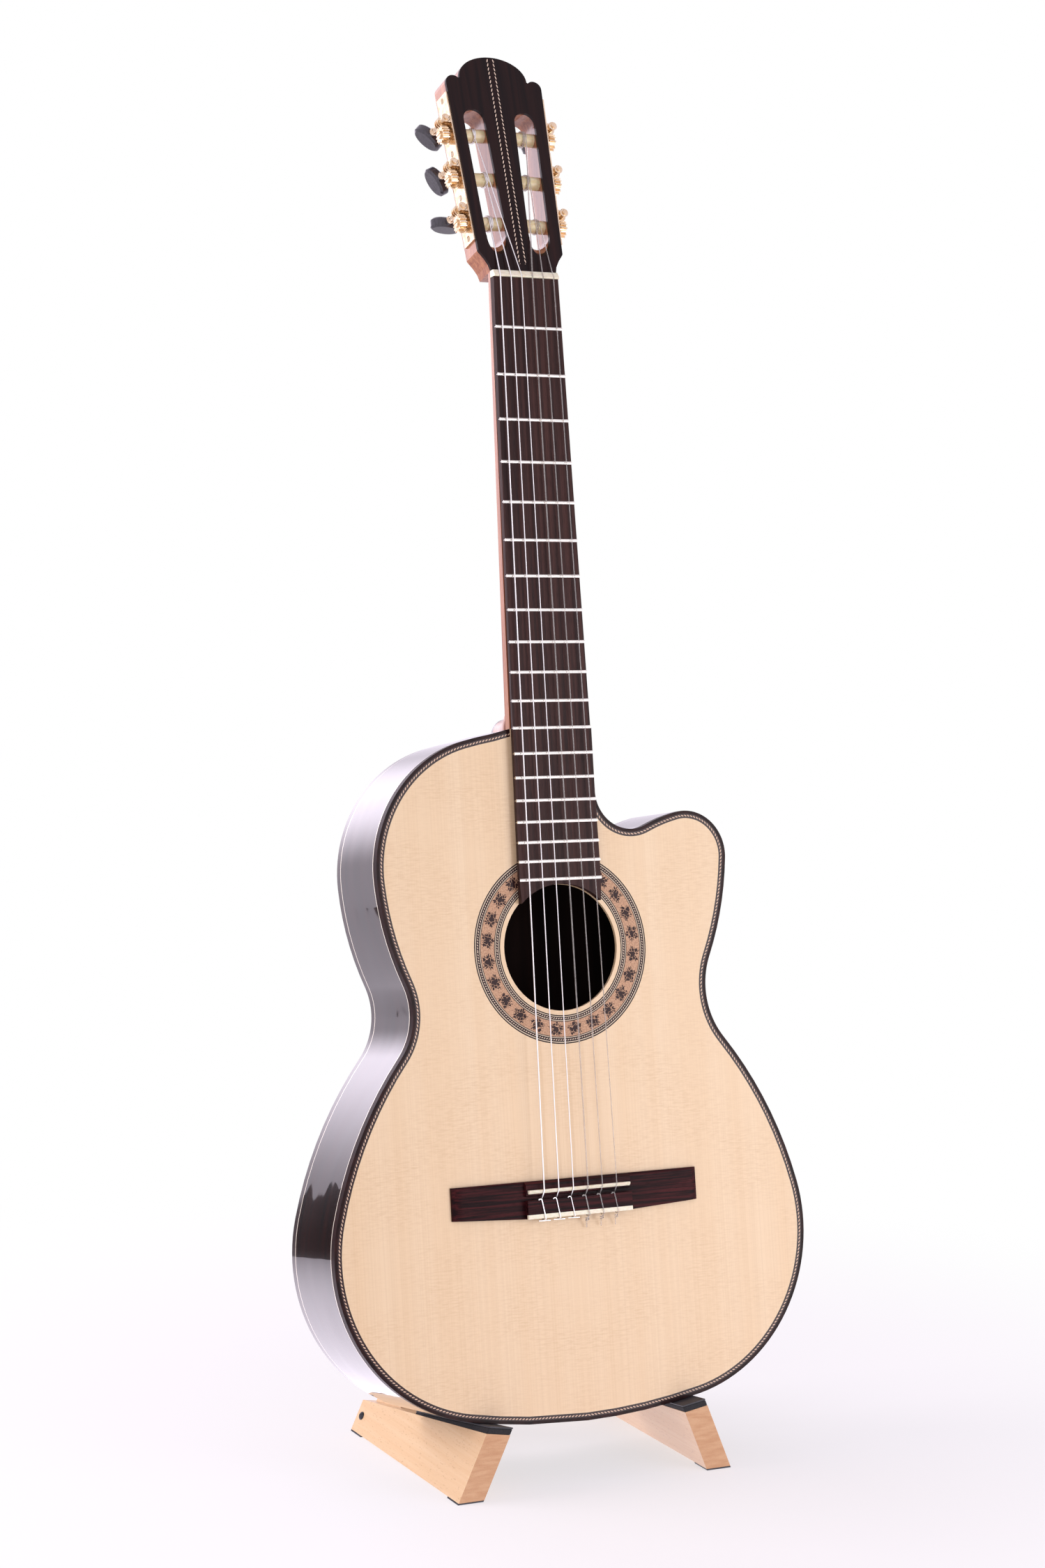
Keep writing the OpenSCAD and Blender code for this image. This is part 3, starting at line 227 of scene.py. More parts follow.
def rosette(tree):
    # Wood mosaic ring let into the soundboard: a mottled tan band with leafy dark flowers, between rope
    # bands edged by dark and pale lines
    point = own_mm(tree, hole_place)
    x, y, _ = add(tree, "SeparateXYZ", [point]).node.outputs
    flat = add(tree, "CombineXYZ", [x, y, 0])
    radius = add(tree, "VectorMath", [flat], out=1, operation="LENGTH")
    angle = add(tree, "Math", [y, x], operation="ARCTAN2")
    wood = laid(tree, "D3A98A", "AE8166", streaks(tree, point, (1, 1, 1), detail=4))

    flowers = add(tree, "Math", [angle, ROSETTE_FLOWERS / math.tau], operation="MULTIPLY")
    share = add(tree, "Math", [add(tree, "Math", [flowers], operation="FRACT"), 0.5], operation="SUBTRACT")
    flower_step = math.tau * ROSETTE_MIDDLE / ROSETTE_FLOWERS
    # The flowers are a little longer round the ring than across it
    beside = add(tree, "Math", [share, 0.87 * flower_step], operation="MULTIPLY")
    outward = add(tree, "Math", [radius, ROSETTE_MIDDLE], operation="SUBTRACT")
    wood = laid(tree, wood, "2E1717", leafy(tree, point, beside, outward))

    dark, pale = "261416", "DCC8B0"
    rings = ((48, 49, dark), (49, 49.5, pale), (49.5, 51.8, dark), (51.8, 52.3, pale), (52.3, 52.9, dark),
             (63.5, 64, dark), (64, 64.5, pale), (64.5, 67.1, dark), (67.1, 67.7, pale), (67.7, 69, dark))
    for inner, outer, tone in rings:
        wood = laid(tree, wood, tone, between(tree, radius, inner, outer))
    for middle in (50.65, 65.8):
        along = add(tree, "Math", [angle, middle], operation="MULTIPLY")
        across = add(tree, "Math", [radius, middle], operation="SUBTRACT")
        wood = laid(tree, wood, "D6BDA8", rope(tree, along, across, pitch=1.9, width=0.95, slant=0.7))
    return {"Base Color": wood, "Roughness": 0.4, "IOR": 1.5, "Specular IOR Level": 0.15,
            "Coat Weight": 0.05, "Coat Roughness": 0.15}


def rib_wood(tree):
    # Rosewood bent to the body's outline under polished lacquer: near black with red-brown figure
    # along the rib, a pale line beside each binding, and mirror reflections that waver
    run = add(tree, "Attribute", out="Vector", attribute_name="run")
    _, from_top, from_back = add(tree, "SeparateXYZ", [run]).node.outputs
    figure = streaks(tree, run, (90, 6, 8), 0.35, 0.8, detail=4, distortion=1.4)
    wood = laid(tree, "0C0606", "321713", figure)
    for edge in (from_top, from_back):
        wood = laid(tree, wood, "F0E2D6", between(tree, edge, BINDING_H, BINDING_H + 0.8))
    waver = streaks(tree, run, (60, 38, 38), 0, 1, detail=1)
    return {"Base Color": wood, "Roughness": 0.2, "IOR": 1.5, "Specular IOR Level": 0.15, "Coat Weight": 1,
            "Coat Roughness": 0.03, "Coat IOR": 1.85,
            "Coat Normal": add(tree, "Bump", {"Strength": 1, "Distance": 0.4 * MM, "Height": waver})}


def back_wood(tree):
    # Two rosewood boards joined down the middle by a pale line, under polished lacquer: bold red-brown
    # figure, mirrored at the joint
    x, y, z = add(tree, "SeparateXYZ", [own_mm(tree, guitar_place)]).node.outputs
    half = add(tree, "Math", [x], operation="ABSOLUTE")
    book = add(tree, "CombineXYZ", [half, y, z])
    figure = streaks(tree, book, (9, 190, 40), 0.3, 0.72, detail=4, distortion=1)
    pores = streaks(tree, book, (0.5, 7, 2), 0.55, 0.7)
    joint = add(tree, "Math", [half, 0.9], operation="LESS_THAN")
    wood = laid(tree, "230F0D", "6B3224", figure)
    wood = laid(tree, wood, "120808", pores, 0.6)
    wood = laid(tree, wood, "C9A57C", joint)
    return {"Base Color": wood, "Roughness": 0.3, "IOR": 1.5, "Coat Weight": 1, "Coat Roughness": 0.04}


def inner_rosewood(tree):
    # The back's inner face, sanded and left bare: dull, and darker than the wood's own colour as painted
    # shade for the closed box
    figure = streaks(tree, own_mm(tree, guitar_place), (9, 190, 40), detail=3)
    return {"Base Color": laid(tree, "120B0A", "1E1210", figure), "Roughness": 0.9,
            "Specular IOR Level": 0.1}


def binding_wood(tree):
    """Very dark rosewood with faint streaks, for the bindings and the heel cap."""
    grain = streaks(tree, own_mm(tree, guitar_place), (8, 8, 1.2), detail=3)
    return laid(tree, "190B0C", "2E1615", grain)


def rubbed_binding(tree):
    # Rosewood binding by the soundboard, scraped and rubbed down: nearly matt
    return {"Base Color": binding_wood(tree), "Roughness": 0.35, "IOR": 1.5, "Specular IOR Level": 0.08,
            "Coat Weight": 0.06, "Coat Roughness": 0.06, "Coat IOR": 1.5}


def polished_binding(tree):
    # Rosewood binding by the back and the heel cap, lacquered and polished with the body: shiny
    return {"Base Color": binding_wood(tree), "Roughness": 0.35, "IOR": 1.5, "Specular IOR Level": 0.48,
            "Coat Weight": 1, "Coat Roughness": 0.06, "Coat IOR": 1.6}


def purfling_wood(tree):
    # Rope purfling of cream beads in dark wood, let in beside the binding: a beaded line round the
    # soundboard
    run = add(tree, "Attribute", out="Vector", attribute_name="run")
    along, inward, _ = add(tree, "SeparateXYZ", [run]).node.outputs
    across = add(tree, "Math", [inward, PURFLING_W * 0.42], operation="SUBTRACT")
    wood = laid(tree, "2A1415", "D6B299", rope(tree, along, across, pitch=2.6, width=1.2, slant=1.1))
    return {"Base Color": wood, "Roughness": 0.3, "IOR": 1.5, "Specular IOR Level": 0.2,
            "Coat Weight": 0.2, "Coat Roughness": 0.1}


def bare_wood(tree):
    # Unfinished spruce and cedar inside the body: dull and pale
    grain = streaks(tree, own_mm(tree, guitar_place), (6, 60, 3), detail=3)
    return {"Base Color": laid(tree, "A98E70", "8C7052", grain), "Roughness": 0.8}


def cedar(tree):
    # Cedar neck under lacquer: warm orange-brown with straight grain along the neck and small pores
    point = own_mm(tree, guitar_place)
    grain = streaks(tree, point, (2.5, 160, 3), detail=3, distortion=0.4)
    pores = streaks(tree, point, (0.4, 5, 0.4), 0.55, 0.7)
    wood = laid(tree, "B4714A", "8E4A2B", grain)
    wood = laid(tree, wood, "5E2E1C", pores, 0.5)
    return {"Base Color": wood, "Roughness": 0.3, "IOR": 1.5, "Coat Weight": 0.8, "Coat Roughness": 0.08}


HEAD_GLOSS = {"Roughness": 0.3, "IOR": 1.5, "Specular IOR Level": 0.1, "Coat Weight": 0.12,
              "Coat Roughness": 0.05}


def head_face(tree):
    # Rosewood head veneer under polished lacquer: brown-black with slow red-brown streaks
    figure = streaks(tree, own_mm(tree, head_place), (5, 120, 5), 0.35, 0.8, detail=3, distortion=0.5)
    return {"Base Color": laid(tree, "150A0A", "2C1613", figure), **HEAD_GLOSS}


def head_rope(tree):
    # Two rope inlays in the head, of cream strands in dark wood: a row of slanted cream beads in each
    x, y, _ = add(tree, "SeparateXYZ", [own_mm(tree, head_place)]).node.outputs
    half = add(tree, "Math", [x], operation="ABSOLUTE")
    across = add(tree, "Math", [half, HEAD_INLAY_X], operation="SUBTRACT")
    wood = laid(tree, "150A0A", "EBD0BC", rope(tree, y, across, pitch=3.4, width=1.1, slant=1.6))
    return {"Base Color": wood, **HEAD_GLOSS}


def ebony(tree):
    # Oiled ebony fretboard: almost black with brown streaks and long open pores, satin
    point = own_mm(tree, guitar_place)
    figure = streaks(tree, point, (3.2, 260, 3), 0.35, 0.75, detail=3, distortion=0.3)
    pores = streaks(tree, point, (0.35, 9, 1), 0.5, 0.7)
    wood = laid(tree, "2B1B1A", "4C2F2B", figure)
    wood = laid(tree, wood, "140C0C", pores, 0.5)
    return {"Base Color": wood, "Roughness": 0.45, "IOR": 1.5, "Specular IOR Level": 0.15,
            "Normal": add(tree, "Bump", {"Strength": 1, "Distance": -0.03 * MM, "Height": pores})}


def bridge_wood(tree):
    # Oiled rosewood bridge: purple-brown with red streaks along its length and small pores, satin
    point = own_mm(tree, guitar_place)
    figure = streaks(tree, point, (60, 1.8, 1.8), 0.4, 0.75, detail=4, distortion=0.5)
    pores = streaks(tree, point, (6, 0.4, 0.4), 0.55, 0.7)
    wood = laid(tree, "1A0A0C", "4E1D20", figure)
    wood = laid(tree, wood, "0F0607", pores, 0.6)
    return {"Base Color": wood, "Roughness": 0.4, "IOR": 1.5, "Specular IOR Level": 0.08,
            "Normal": add(tree, "Bump", {"Strength": 1, "Distance": -0.03 * MM, "Height": pores})}


def fret_silver(tree):
    # Nickel silver fret wire, dressed and polished: bright with fine marks from filing
    marks = streaks(tree, own_mm(tree, guitar_place), (0.3, 3, 3), 0.3, 0.7)
    return {"Base Color": colour("E4E0D6"), "Metallic": 1,
            "Roughness": add(tree, "MapRange", [marks, 0, 1, 0.22, 0.36])}


def bone(tree):
    # Bleached bone, cut and polished: warm white with faint cloudy marks
    marks = streaks(tree, own_mm(tree, guitar_place), (3, 1.2, 1.2), detail=3)
    return {"Base Color": laid(tree, "F7EFDB", "EBDFC3", marks), "Roughness": 0.35, "IOR": 1.54,
            "Subsurface Weight": 0.15, "Subsurface Scale": 1.5 * MM}


def wound_string(tree):
    # Silver-plated wire wound on a thread core: bright, with the turns of wire as fine ribs across it.
    # The ribs are drawn at 0.5 mm, coarser than the real 0.2 mm, so that they show
    _, y, _ = add(tree, "SeparateXYZ", [own_mm(tree, guitar_place)]).node.outputs
    wave = add(tree, "Math", [y, math.tau / 0.5], operation="MULTIPLY")
    ribs = add(tree, "Math", [wave], operation="SINE")
    return {"Base Color": colour("F2F1EE"), "Metallic": 1, "Roughness": 0.3,
            "Normal": add(tree, "Bump", {"Strength": 1, "Distance": 0.03 * MM, "Height": ribs})}


def nylon(tree):
    # Clear drawn nylon string: pale and glassy, with light along its edges
    haze = streaks(tree, own_mm(tree, guitar_place), (3, 20, 3))
    return {"Base Color": laid(tree, "F0ECE8", "E2DDD8", haze), "Roughness": 0.15, "IOR": 1.53,
            "Transmission Weight": 0.8}


def gold_plate(tree):
    # Gold-plated brass, polished before plating: warm yellow with soft changes of gloss
    marks = streaks(tree, own_mm(tree, guitar_place), (4, 4, 4), detail=4)
    return {"Base Color": laid(tree, "EEDCC0", "DFC29C", marks), "Metallic": 1,
            "Roughness": add(tree, "MapRange", [marks, 0, 1, 0.16, 0.3])}


def roller_plastic(tree):
    # Moulded cream plastic sleeve: smooth, slightly glowing, with a faint warm tint
    marks = streaks(tree, own_mm(tree, guitar_place), (6, 3, 3))
    return {"Base Color": laid(tree, "F0DFB8", "E4CFA0", marks), "Roughness": 0.3, "IOR": 1.5,
            "Subsurface Weight": 0.2, "Subsurface Scale": 2 * MM}


def button_black(tree):
    # Turned ebony button, polished: nearly black, with both tones lifted to a lilac grey as a painted
    # sheen
    grain = streaks(tree, own_mm(tree, guitar_place), (1, 8, 1), detail=3)
    return {"Base Color": laid(tree, "2A272D", "403B44", grain), "Roughness": 0.3, "IOR": 1.54,
            "Coat Weight": 0.5, "Coat Roughness": 0.1}


def beech(place):
    """Beech for one half of the stand, with its grain along the board that has this place."""
    def surface(tree):
        # Planed beech board under clear satin lacquer: pale pinkish wood with straight grain along the
        # board and the short brown flecks of its rays
        point = own_mm(tree, place)
        grain = streaks(tree, point, (2.4, 120, 3.5), 0.3, 0.7, detail=3, distortion=0.4)
        flecks = streaks(tree, point, (0.9, 3.2, 0.9), 0.62, 0.72)
        wood = laid(tree, "E4C09A", "DDB48A", grain)
        wood = laid(tree, wood, "B07C55", flecks, 0.45)
        return {"Base Color": wood, "Roughness": 0.45, "IOR": 1.5, "Coat Weight": 0.2,
                "Coat Roughness": 0.25,
                "Normal": add(tree, "Bump", {"Strength": 1, "Distance": 0.02 * MM, "Height": grain})}
    return surface


def beech_end(tree):
    # Beech end grain under the same lacquer: it drinks the finish and turns orange-brown, with fine pores
    point = own_mm(tree, guitar_place)
    rings = streaks(tree, point, (14, 2.5, 2.5), detail=3)
    pores = streaks(tree, point, (0.6, 0.6, 0.6), 0.55, 0.75)
    wood = laid(tree, "D0A27A", "C28F66", rings)
    wood = laid(tree, wood, "A87450", pores, 0.4)
    return {"Base Color": wood, "Roughness": 0.5, "IOR": 1.5, "Coat Weight": 0.15, "Coat Roughness": 0.25}


def black_steel(tree):
    # Blackened steel bolt and hinge: dark grey, dull, worn a little brighter in places
    marks = streaks(tree, own_mm(tree, guitar_place), (3, 3, 3), detail=4)
    return {"Base Color": laid(tree, "2A2A2D", "4A4A4E", marks), "Metallic": 0.8, "Roughness": 0.45}


def foam(tree):
    # Closed-cell black foam: matt, with a fine grain of cut cells about 0.8 mm wide
    cells = streaks(tree, own_mm(tree, guitar_place), (0.8, 0.8, 0.8), 0.3, 0.7, detail=3)
    return {"Base Color": laid(tree, "151416", "262427", cells), "Roughness": 0.9,
            "Normal": add(tree, "Bump", {"Strength": 1, "Distance": 0.15 * MM, "Height": cells})}


def rubber(tree):
    # Calendered rubber sheet: dark grey, matt, a little dusty
    dust = streaks(tree, own_mm(tree, guitar_place), (9, 9, 9), detail=4)
    return {"Base Color": laid(tree, "232226", "3A393E", dust), "Roughness": 0.6}


# The finishes, each with the CAD nodes that it covers. Those without nodes cover single faces or pieces
FINISHES = {
    "spruce_top": (spruce, ["soundboard"]),
    "rosette_inlay": (rosette, ["rosette"]),
    "rosewood_back": (back_wood, ["back_plate"]),
    "rosewood_ribs": (rib_wood, ["side_bass", "side_treble"]),
    "binding_rosewood": (rubbed_binding, ["bindings"]),
    "polished_binding": (polished_binding, ["heel_cap"]),
    "purfling_rope": (purfling_wood, ["purfling"]),
    "rosewood_inside_painted_shade": (inner_rosewood, []),
    "bare_inner_wood": (bare_wood, ["linings", "braces"]),
    "cedar_neck": (cedar, ["neck"]),
    "head_rosewood": (head_face, ["head_veneer"]),
    "head_rope_inlay": (head_rope, ["head_inlay"]),
    "ebony_fretboard": (ebony, ["fretboard"]),
    "nickel_silver_frets": (fret_silver, ["frets"]),
    "bone_parts": (bone, ["nut", "saddle", "tie_bone"]),
    "bridge_rosewood": (bridge_wood, ["bridge"]),
    "wound_string": (wound_string, []),
    "nylon_string": (nylon, ["strings"]),
    "gold_plated_machines": (gold_plate, ["tuner_plate_bass", "tuner_plate_treble", "plate_screws",
                                          *(f"{part}_{n}" for part in ("gear", "worm")
                                            for n in STRING_NUMBERS)]),
    "roller_plastic": (roller_plastic, [f"roller_{n}" for n in STRING_NUMBERS]),
    "ebony_buttons": (button_black, [f"button_{n}" for n in STRING_NUMBERS]),
    "beech_left": (beech(board_place["left"]), ["leg_left", "arm_left"]),
    "beech_right": (beech(board_place["right"]), ["leg_right", "arm_right"]),
    "beech_end_grain": (beech_end, []),
    "black_steel": (black_steel, ["leg_hardware_left", "leg_hardware_right"]),
    "black_foam": (foam, ["arm_pad_left", "arm_pad_right"]),
    "black_rubber": (rubber, [f"{part}_{side}" for part in ("leg_pads", "arm_rubber") for side in SIDES]),
}
MATERIALS = {}
for finish_name, (surface, members) in FINISHES.items():
    finish = MATERIALS[finish_name] = blank_material(finish_name)
    shader = add(finish.node_tree, "BsdfPrincipled", surface(finish.node_tree))
    add(finish.node_tree, "OutputMaterial", [shader])
    for member in members:
        NODES[member].data.materials.clear()
        NODES[member].data.materials.append(finish)


# ---- Pieces that stand for CAD nodes ----
# Corners closer than this many mm are one, and so are faces that meet at less than this many degrees
WELD = 0.005
FLAT_BELOW = 0.5
# Edges sharper than this many degrees stay sharp
SHARP_ABOVE = 30
MACHINE_SHARP_ABOVE = 35
# A face looks along an axis if its normal has at least this share along it
FACING = 0.9
# How far the edges of parts are rounded over, in mm
BOARD_EDGE = 0.8
PAD_EDGE = 1
RUBBER_EDGE = 0.3
BRIDGE_EDGE = 0.3
BUTTON_EDGE = 0.5


def placed(name, data):
    """A new object in the scene."""
    made = bpy.data.objects.new(name, data)
    bpy.context.scene.collection.objects.link(made)
    return made


def welded_copy(node, flat_below=0):
    """A new piece with a CAD node's shape as one connected skin. Faces that meet at less than this
    many degrees are joined up."""
    mesh = NODES[node].data.copy()
    skin = bmesh.new()
    skin.from_mesh(mesh)
    bmesh.ops.remove_doubles(skin, verts=skin.verts, dist=WELD * MM)
    if flat_below:
        bmesh.ops.dissolve_limit(skin, angle_limit=math.radians(flat_below), verts=skin.verts,
                                 edges=skin.edges)
    bmesh.ops.recalc_face_normals(skin, faces=skin.faces)
    mesh.clear_geometry()
    skin.to_mesh(mesh)
    skin.free()
    # The CAD's flat normals would keep the skin from shading smoothly
    flat_normals = mesh.attributes.get("custom_normal")
    if flat_normals:
        mesh.attributes.remove(flat_normals)
    piece = placed(node + "_piece", mesh)
    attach(piece, BODY_OF_NODE[node])
    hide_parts(node)
    return piece


def shade_smooth(piece, sharp_above=SHARP_ABOVE):
    """Smooth shading that keeps edges sharper than this many degrees."""
    piece.data.shade_smooth()
    piece.data.set_sharp_from_angle(angle=math.radians(sharp_above))
    return piece


def eased(node, width_mm):
    """A copy of a node with its sharp edges rounded over by this many mm."""
    piece = welded_copy(node, flat_below=FLAT_BELOW)
    edge = piece.modifiers.new("eased edges", "BEVEL")
    edge.width = width_mm * MM
    edge.segments = 3
    edge.limit_method = "ANGLE"
    edge.angle_limit = math.radians(SHARP_ABOVE)
    edge.harden_normals = True
    return shade_smooth(piece)


def refinish(piece, finish_name, is_chosen):
    """Gives a second finish to the faces of a piece that are chosen."""
    piece.data.materials.append(MATERIALS[finish_name])
    for face in piece.data.polygons:
        if is_chosen(face):
            face.material_index = 1


def body_rim():
    """The soundboard's rim in the guitar's frame, as two runs of points from the tail to the heel."""
    skin = bmesh.new()
    skin.from_mesh(NODES["purfling"].data)
    skin.transform(to_guitar)
    bmesh.ops.scale(skin, vec=(1 / MM,) * 3, verts=skin.verts)
    bmesh.ops.remove_doubles(skin, verts=skin.verts, dist=WELD)
    top = {f for f in skin.faces if f.normal.z > FACING and abs(f.calc_center_median().z - TOP_Z) < 0.1}
    edge = {e for e in skin.edges if sum(f in top for f in e.link_faces) == 1}
    tail = min((v for e in edge for v in e.verts), key=lambda v: (round(v.co.y, 3), abs(v.co.x)))
    foot_half, foot_length = NECK_FOOT
    runs = {}
    for side in (-1, 1):
        run, last, here = [tail.co.copy()], None, tail
        while here.co.y < HEEL_Y - foot_length or abs(here.co.x) > foot_half:
            ahead = [e for e in here.link_edges if e in edge and e is not last]
            last = max(ahead, key=lambda e: side * e.other_vert(here).co.x) if last is None else ahead[0]
            here = last.other_vert(here)
            run.append(here.co.copy())
        runs[side] = run
    skin.free()
    return runs


rim = body_rim()


def along_rim(point):
    """A point's gap to the rim, and how far along the rim from the tail its nearest place lies."""
    run = rim[1 if point.x > 0 else -1]
    best = (math.inf, 0)
    length = 0
    for start, end in zip(run, run[1:]):
        step = (end - start).xy
        share = min(max((point.xy - start.xy).dot(step) / step.length_squared, 0), 1)
        gap = (point.xy - start.xy - step * share).length
        best = min(best, (gap, length + share * step.length))
        length += step.length
    return best


def note_run(piece, from_rim=False):
    """Notes on each point, in mm, how far it lies along the rim, how far below the soundboard or in
    from the rim, and how far before the back's outer face."""
    note = piece.data.attributes.new("run", "FLOAT_VECTOR", "POINT")
    tilt = (TAIL_DEPTH - HEEL_DEPTH) / BODY_LENGTH
    for point, vertex in zip(note.data, piece.data.vertices):
        here = to_guitar @ vertex.co / MM
        gap, along = along_rim(here)
        back_z = TOP_Z - TAIL_DEPTH + (here.y - TAIL_Y) * tilt
        point.vector = (along, gap if from_rim else TOP_Z - here.z, here.z - back_z)


# Ribs, purfling and bindings
for node in ("side_bass", "side_treble", "purfling"):
    note_run(shade_smooth(welded_copy(node)), from_rim=node == "purfling")
refinish(shade_smooth(welded_copy("bindings")), "polished_binding",
         lambda face: (to_guitar @ face.center).z < (TOP_Z - 2 * BINDING_H) * MM)

# Back
inward = (guitar_place.to_3x3() @ Vector((0, 0, 1))).normalized()
refinish(shade_smooth(welded_copy("back_plate")), "rosewood_inside_painted_shade",
         lambda face: face.normal.dot(inward) > FACING)

# Fretboard, whose free end is drawn in to the soundhole's own edge
fretboard = welded_copy("fretboard")
to_hole = hole_place.inverted()
for vertex in fretboard.data.vertices:
    here = to_hole @ vertex.co
    if here.xy.length < (HOLE_R + FRETBOARD_CLEAR) * MM:
        here.xy *= (HOLE_R + FRETBOARD_SEAT) * MM / here.xy.length
        vertex.co = hole_place @ here
shade_smooth(fretboard)

# Tuning machines
for number in STRING_NUMBERS:
    for part in ("gear", "worm", "roller"):
        shade_smooth(welded_copy(f"{part}_{number}"), MACHINE_SHARP_ABOVE)
    eased(f"button_{number}", BUTTON_EDGE)

# Stand
for side in SIDES:
    eased(f"leg_{side}", BOARD_EDGE)
    arm = eased(f"arm_{side}", BOARD_EDGE)
    refinish(arm, "beech_end_grain", lambda face: abs(face.normal.y) > FACING)
    pad = eased(f"arm_pad_{side}", PAD_EDGE)
    eased(f"arm_rubber_{side}", RUBBER_EDGE)

# Bridge and nut
for node in ("bridge", "nut"):
    eased(node, BRIDGE_EDGE)

# ---- Strings, in mm, from the bass side. The first three are wound ----
STRING_R = (0.55, 0.46, 0.4, 0.52, 0.42, 0.36)
WOUND_STRINGS = 3
# The roller that each string goes to, counted from the nut, and where it leaves it, from the middle
STRING_ROW = (0, 1, 2, 2, 1, 0)
STRING_LEAVE = (19.6, 17.5, 21.6, 21.8, 19, 21)
FIRST_ROLLER = 40
ROLLER_PITCH = 35
ROLLER_R = 4.9
ROLLER_Z = -9
ROLLER_GAP = 0.3
WINDING_TURNS = 2.25
WINDING_GAP = 0.2
WINDING_STEP = 12
# Half the head's width at the nut, if its sides ran on
HEAD_SIDE = HEAD_HALF - HEAD_CORNER_Y * math.tan(HEAD_FLARE)
# Nut and saddle
NUT_SPREAD = 43
NUT_REST = 1.2
STRING_LIFT = 1.3
SADDLE_SPREAD = 58
SADDLE_Y = -SCALE_LENGTH - 2
SADDLE_CROWN = (0.3, 0.7)
SADDLE_Z = 3.4
TOUCH = 0.05
# Tie block at the rear of the bridge, with the strings' bores in it
BRIDGE_FRONT = -SCALE_LENGTH + 5.2
BRIDGE_REAR = BRIDGE_FRONT - 26
TIE_FRONT = BRIDGE_REAR + 13
TIE_Z = TOP_Z + 8
BORE_Z = TOP_Z + 4.6
KNOT_R = 1.1


def string_x(number, spread):
    """Where one of six strings lies across the neck, if they spread over this many mm."""
    return (number / 5 - 0.5) * spread


def in_guitar(side, point):
    """A point of one row of tuning machines, in the guitar's frame."""
    x, y, z = point
    head = Vector((side * (HEAD_SIDE + x * math.cos(HEAD_FLARE) + y * math.sin(HEAD_FLARE)),
                   y * math.cos(HEAD_FLARE) - x * math.sin(HEAD_FLARE), z))
    return Vector((0, NUT_T, HEAD_DROP)) + Matrix.Rotation(-HEAD_ANGLE, 3, "X") @ head


def windings(number):
    """The string's turns round its roller, up to where it leaves for the nut."""
    string_r = STRING_R[number]
    side = -1 if number < WOUND_STRINGS else 1
    row_y = FIRST_ROLLER + STRING_ROW[number] * ROLLER_PITCH
    wind_r = ROLLER_R + ROLLER_GAP + string_r
    leave = (STRING_LEAVE[number] - HEAD_SIDE - row_y * math.sin(HEAD_FLARE)) / math.cos(HEAD_FLARE)
    rise = math.atan((STRING_LIFT + string_r - HEAD_DROP - ROLLER_Z - wind_r) / row_y)
    turns = []
    for degrees in range(int(WINDING_TURNS * 360), -1, -WINDING_STEP):
        angle = math.pi / 2 - rise - math.radians(degrees)
        turns.append(in_guitar(side, (leave - degrees / 360 * (2 * string_r + WINDING_GAP),
                                      row_y + wind_r * math.cos(angle),
                                      ROLLER_Z + wind_r * math.sin(angle))))
    return turns


def string_route(number):
    """The string's route from its windings on the roller to its end at the tie block."""
    string_r = STRING_R[number]
    nut_x = string_x(number, NUT_SPREAD)
    nut_z = STRING_LIFT + string_r
    saddle_x = string_x(number, SADDLE_SPREAD)
    over = TIE_Z + string_r + TOUCH
    to_block = [Vector(point) for point in (
        (nut_x, NUT_REST, nut_z),
        (nut_x, 0, nut_z),
        (saddle_x, SADDLE_Y + SADDLE_CROWN[1], SADDLE_Z + string_r + TOUCH),
        (saddle_x, SADDLE_Y + SADDLE_CROWN[0], SADDLE_Z + string_r + TOUCH),
        (saddle_x, TIE_FRONT + 0.4, BORE_Z + 0.12),
        (saddle_x, BRIDGE_REAR - 0.3, BORE_Z),
        (saddle_x + 0.2, BRIDGE_REAR - string_r - 0.7, BORE_Z + 0.6),
        (saddle_x + 0.4, BRIDGE_REAR - string_r - 0.5, TIE_Z - 0.4),
        (saddle_x + 0.6, BRIDGE_REAR - 0.1, over + 0.1),
        (saddle_x - 0.6, (BRIDGE_REAR + TIE_FRONT) / 2, over),
        (saddle_x - 1.7, TIE_FRONT - 0.6, over))]
    # The end is caught under the string and curls back over the block's front edge
    curl = [Vector((saddle_x - 1.8 - 1.3 * (1 - math.cos(angle)),
                    TIE_FRONT - 0.4 + 1.1 * math.sin(angle), over))
            for angle in (0.5, 1.1, 1.7, 2.3, 2.9)]
    return windings(number) + to_block + curl


def string_end(number):
    """The wound strings' straight ends behind the tie block, and the nylon strings' knots with their
    tails."""
    saddle_x = string_x(number, SADDLE_SPREAD)
    behind = BRIDGE_REAR - STRING_R[number] - 1.1
    if number < WOUND_STRINGS:
        return [Vector((saddle_x - 3.6, behind, BORE_Z + 0.9)),
                Vector((saddle_x + 5.4, behind - 0.3, BORE_Z + 1.1))]
    knot = [Vector((saddle_x + KNOT_R * math.cos(turn), behind - 0.6 - turn / 4.5,
                    BORE_Z + 1 + KNOT_R * math.sin(turn)))
            for turn in range(12)]
    return [*knot, Vector((saddle_x + 0.5, behind - 4.5, TOP_Z + 3)),
            Vector((saddle_x + 0.9, behind - 8, TOP_Z + 2))]


for number, string_r in enumerate(STRING_R):
    curve = bpy.data.curves.new(f"string_{number + 1}", "CURVE")
    curve.dimensions = "3D"
    curve.bevel_depth = string_r * MM
    curve.bevel_resolution = 3
    curve.use_fill_caps = True
    for route in (string_route(number), string_end(number)):
        spline = curve.splines.new("POLY")
        spline.points.add(len(route) - 1)
        for point, place in zip(spline.points, route):
            point.co = (*(guitar_place @ (place * MM)), 1)
    curve.materials.append(MATERIALS["wound_string" if number < WOUND_STRINGS else "nylon_string"])
    string = placed(f"string_{number + 1}", curve)
    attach(string, "guitar")
    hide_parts("strings")

# ---- Floor, light and camera, in metres ----
# The room's white, with a breath of violet in reflections
PAPER = "FAF1FF"
FLOOR_SIZE = 12
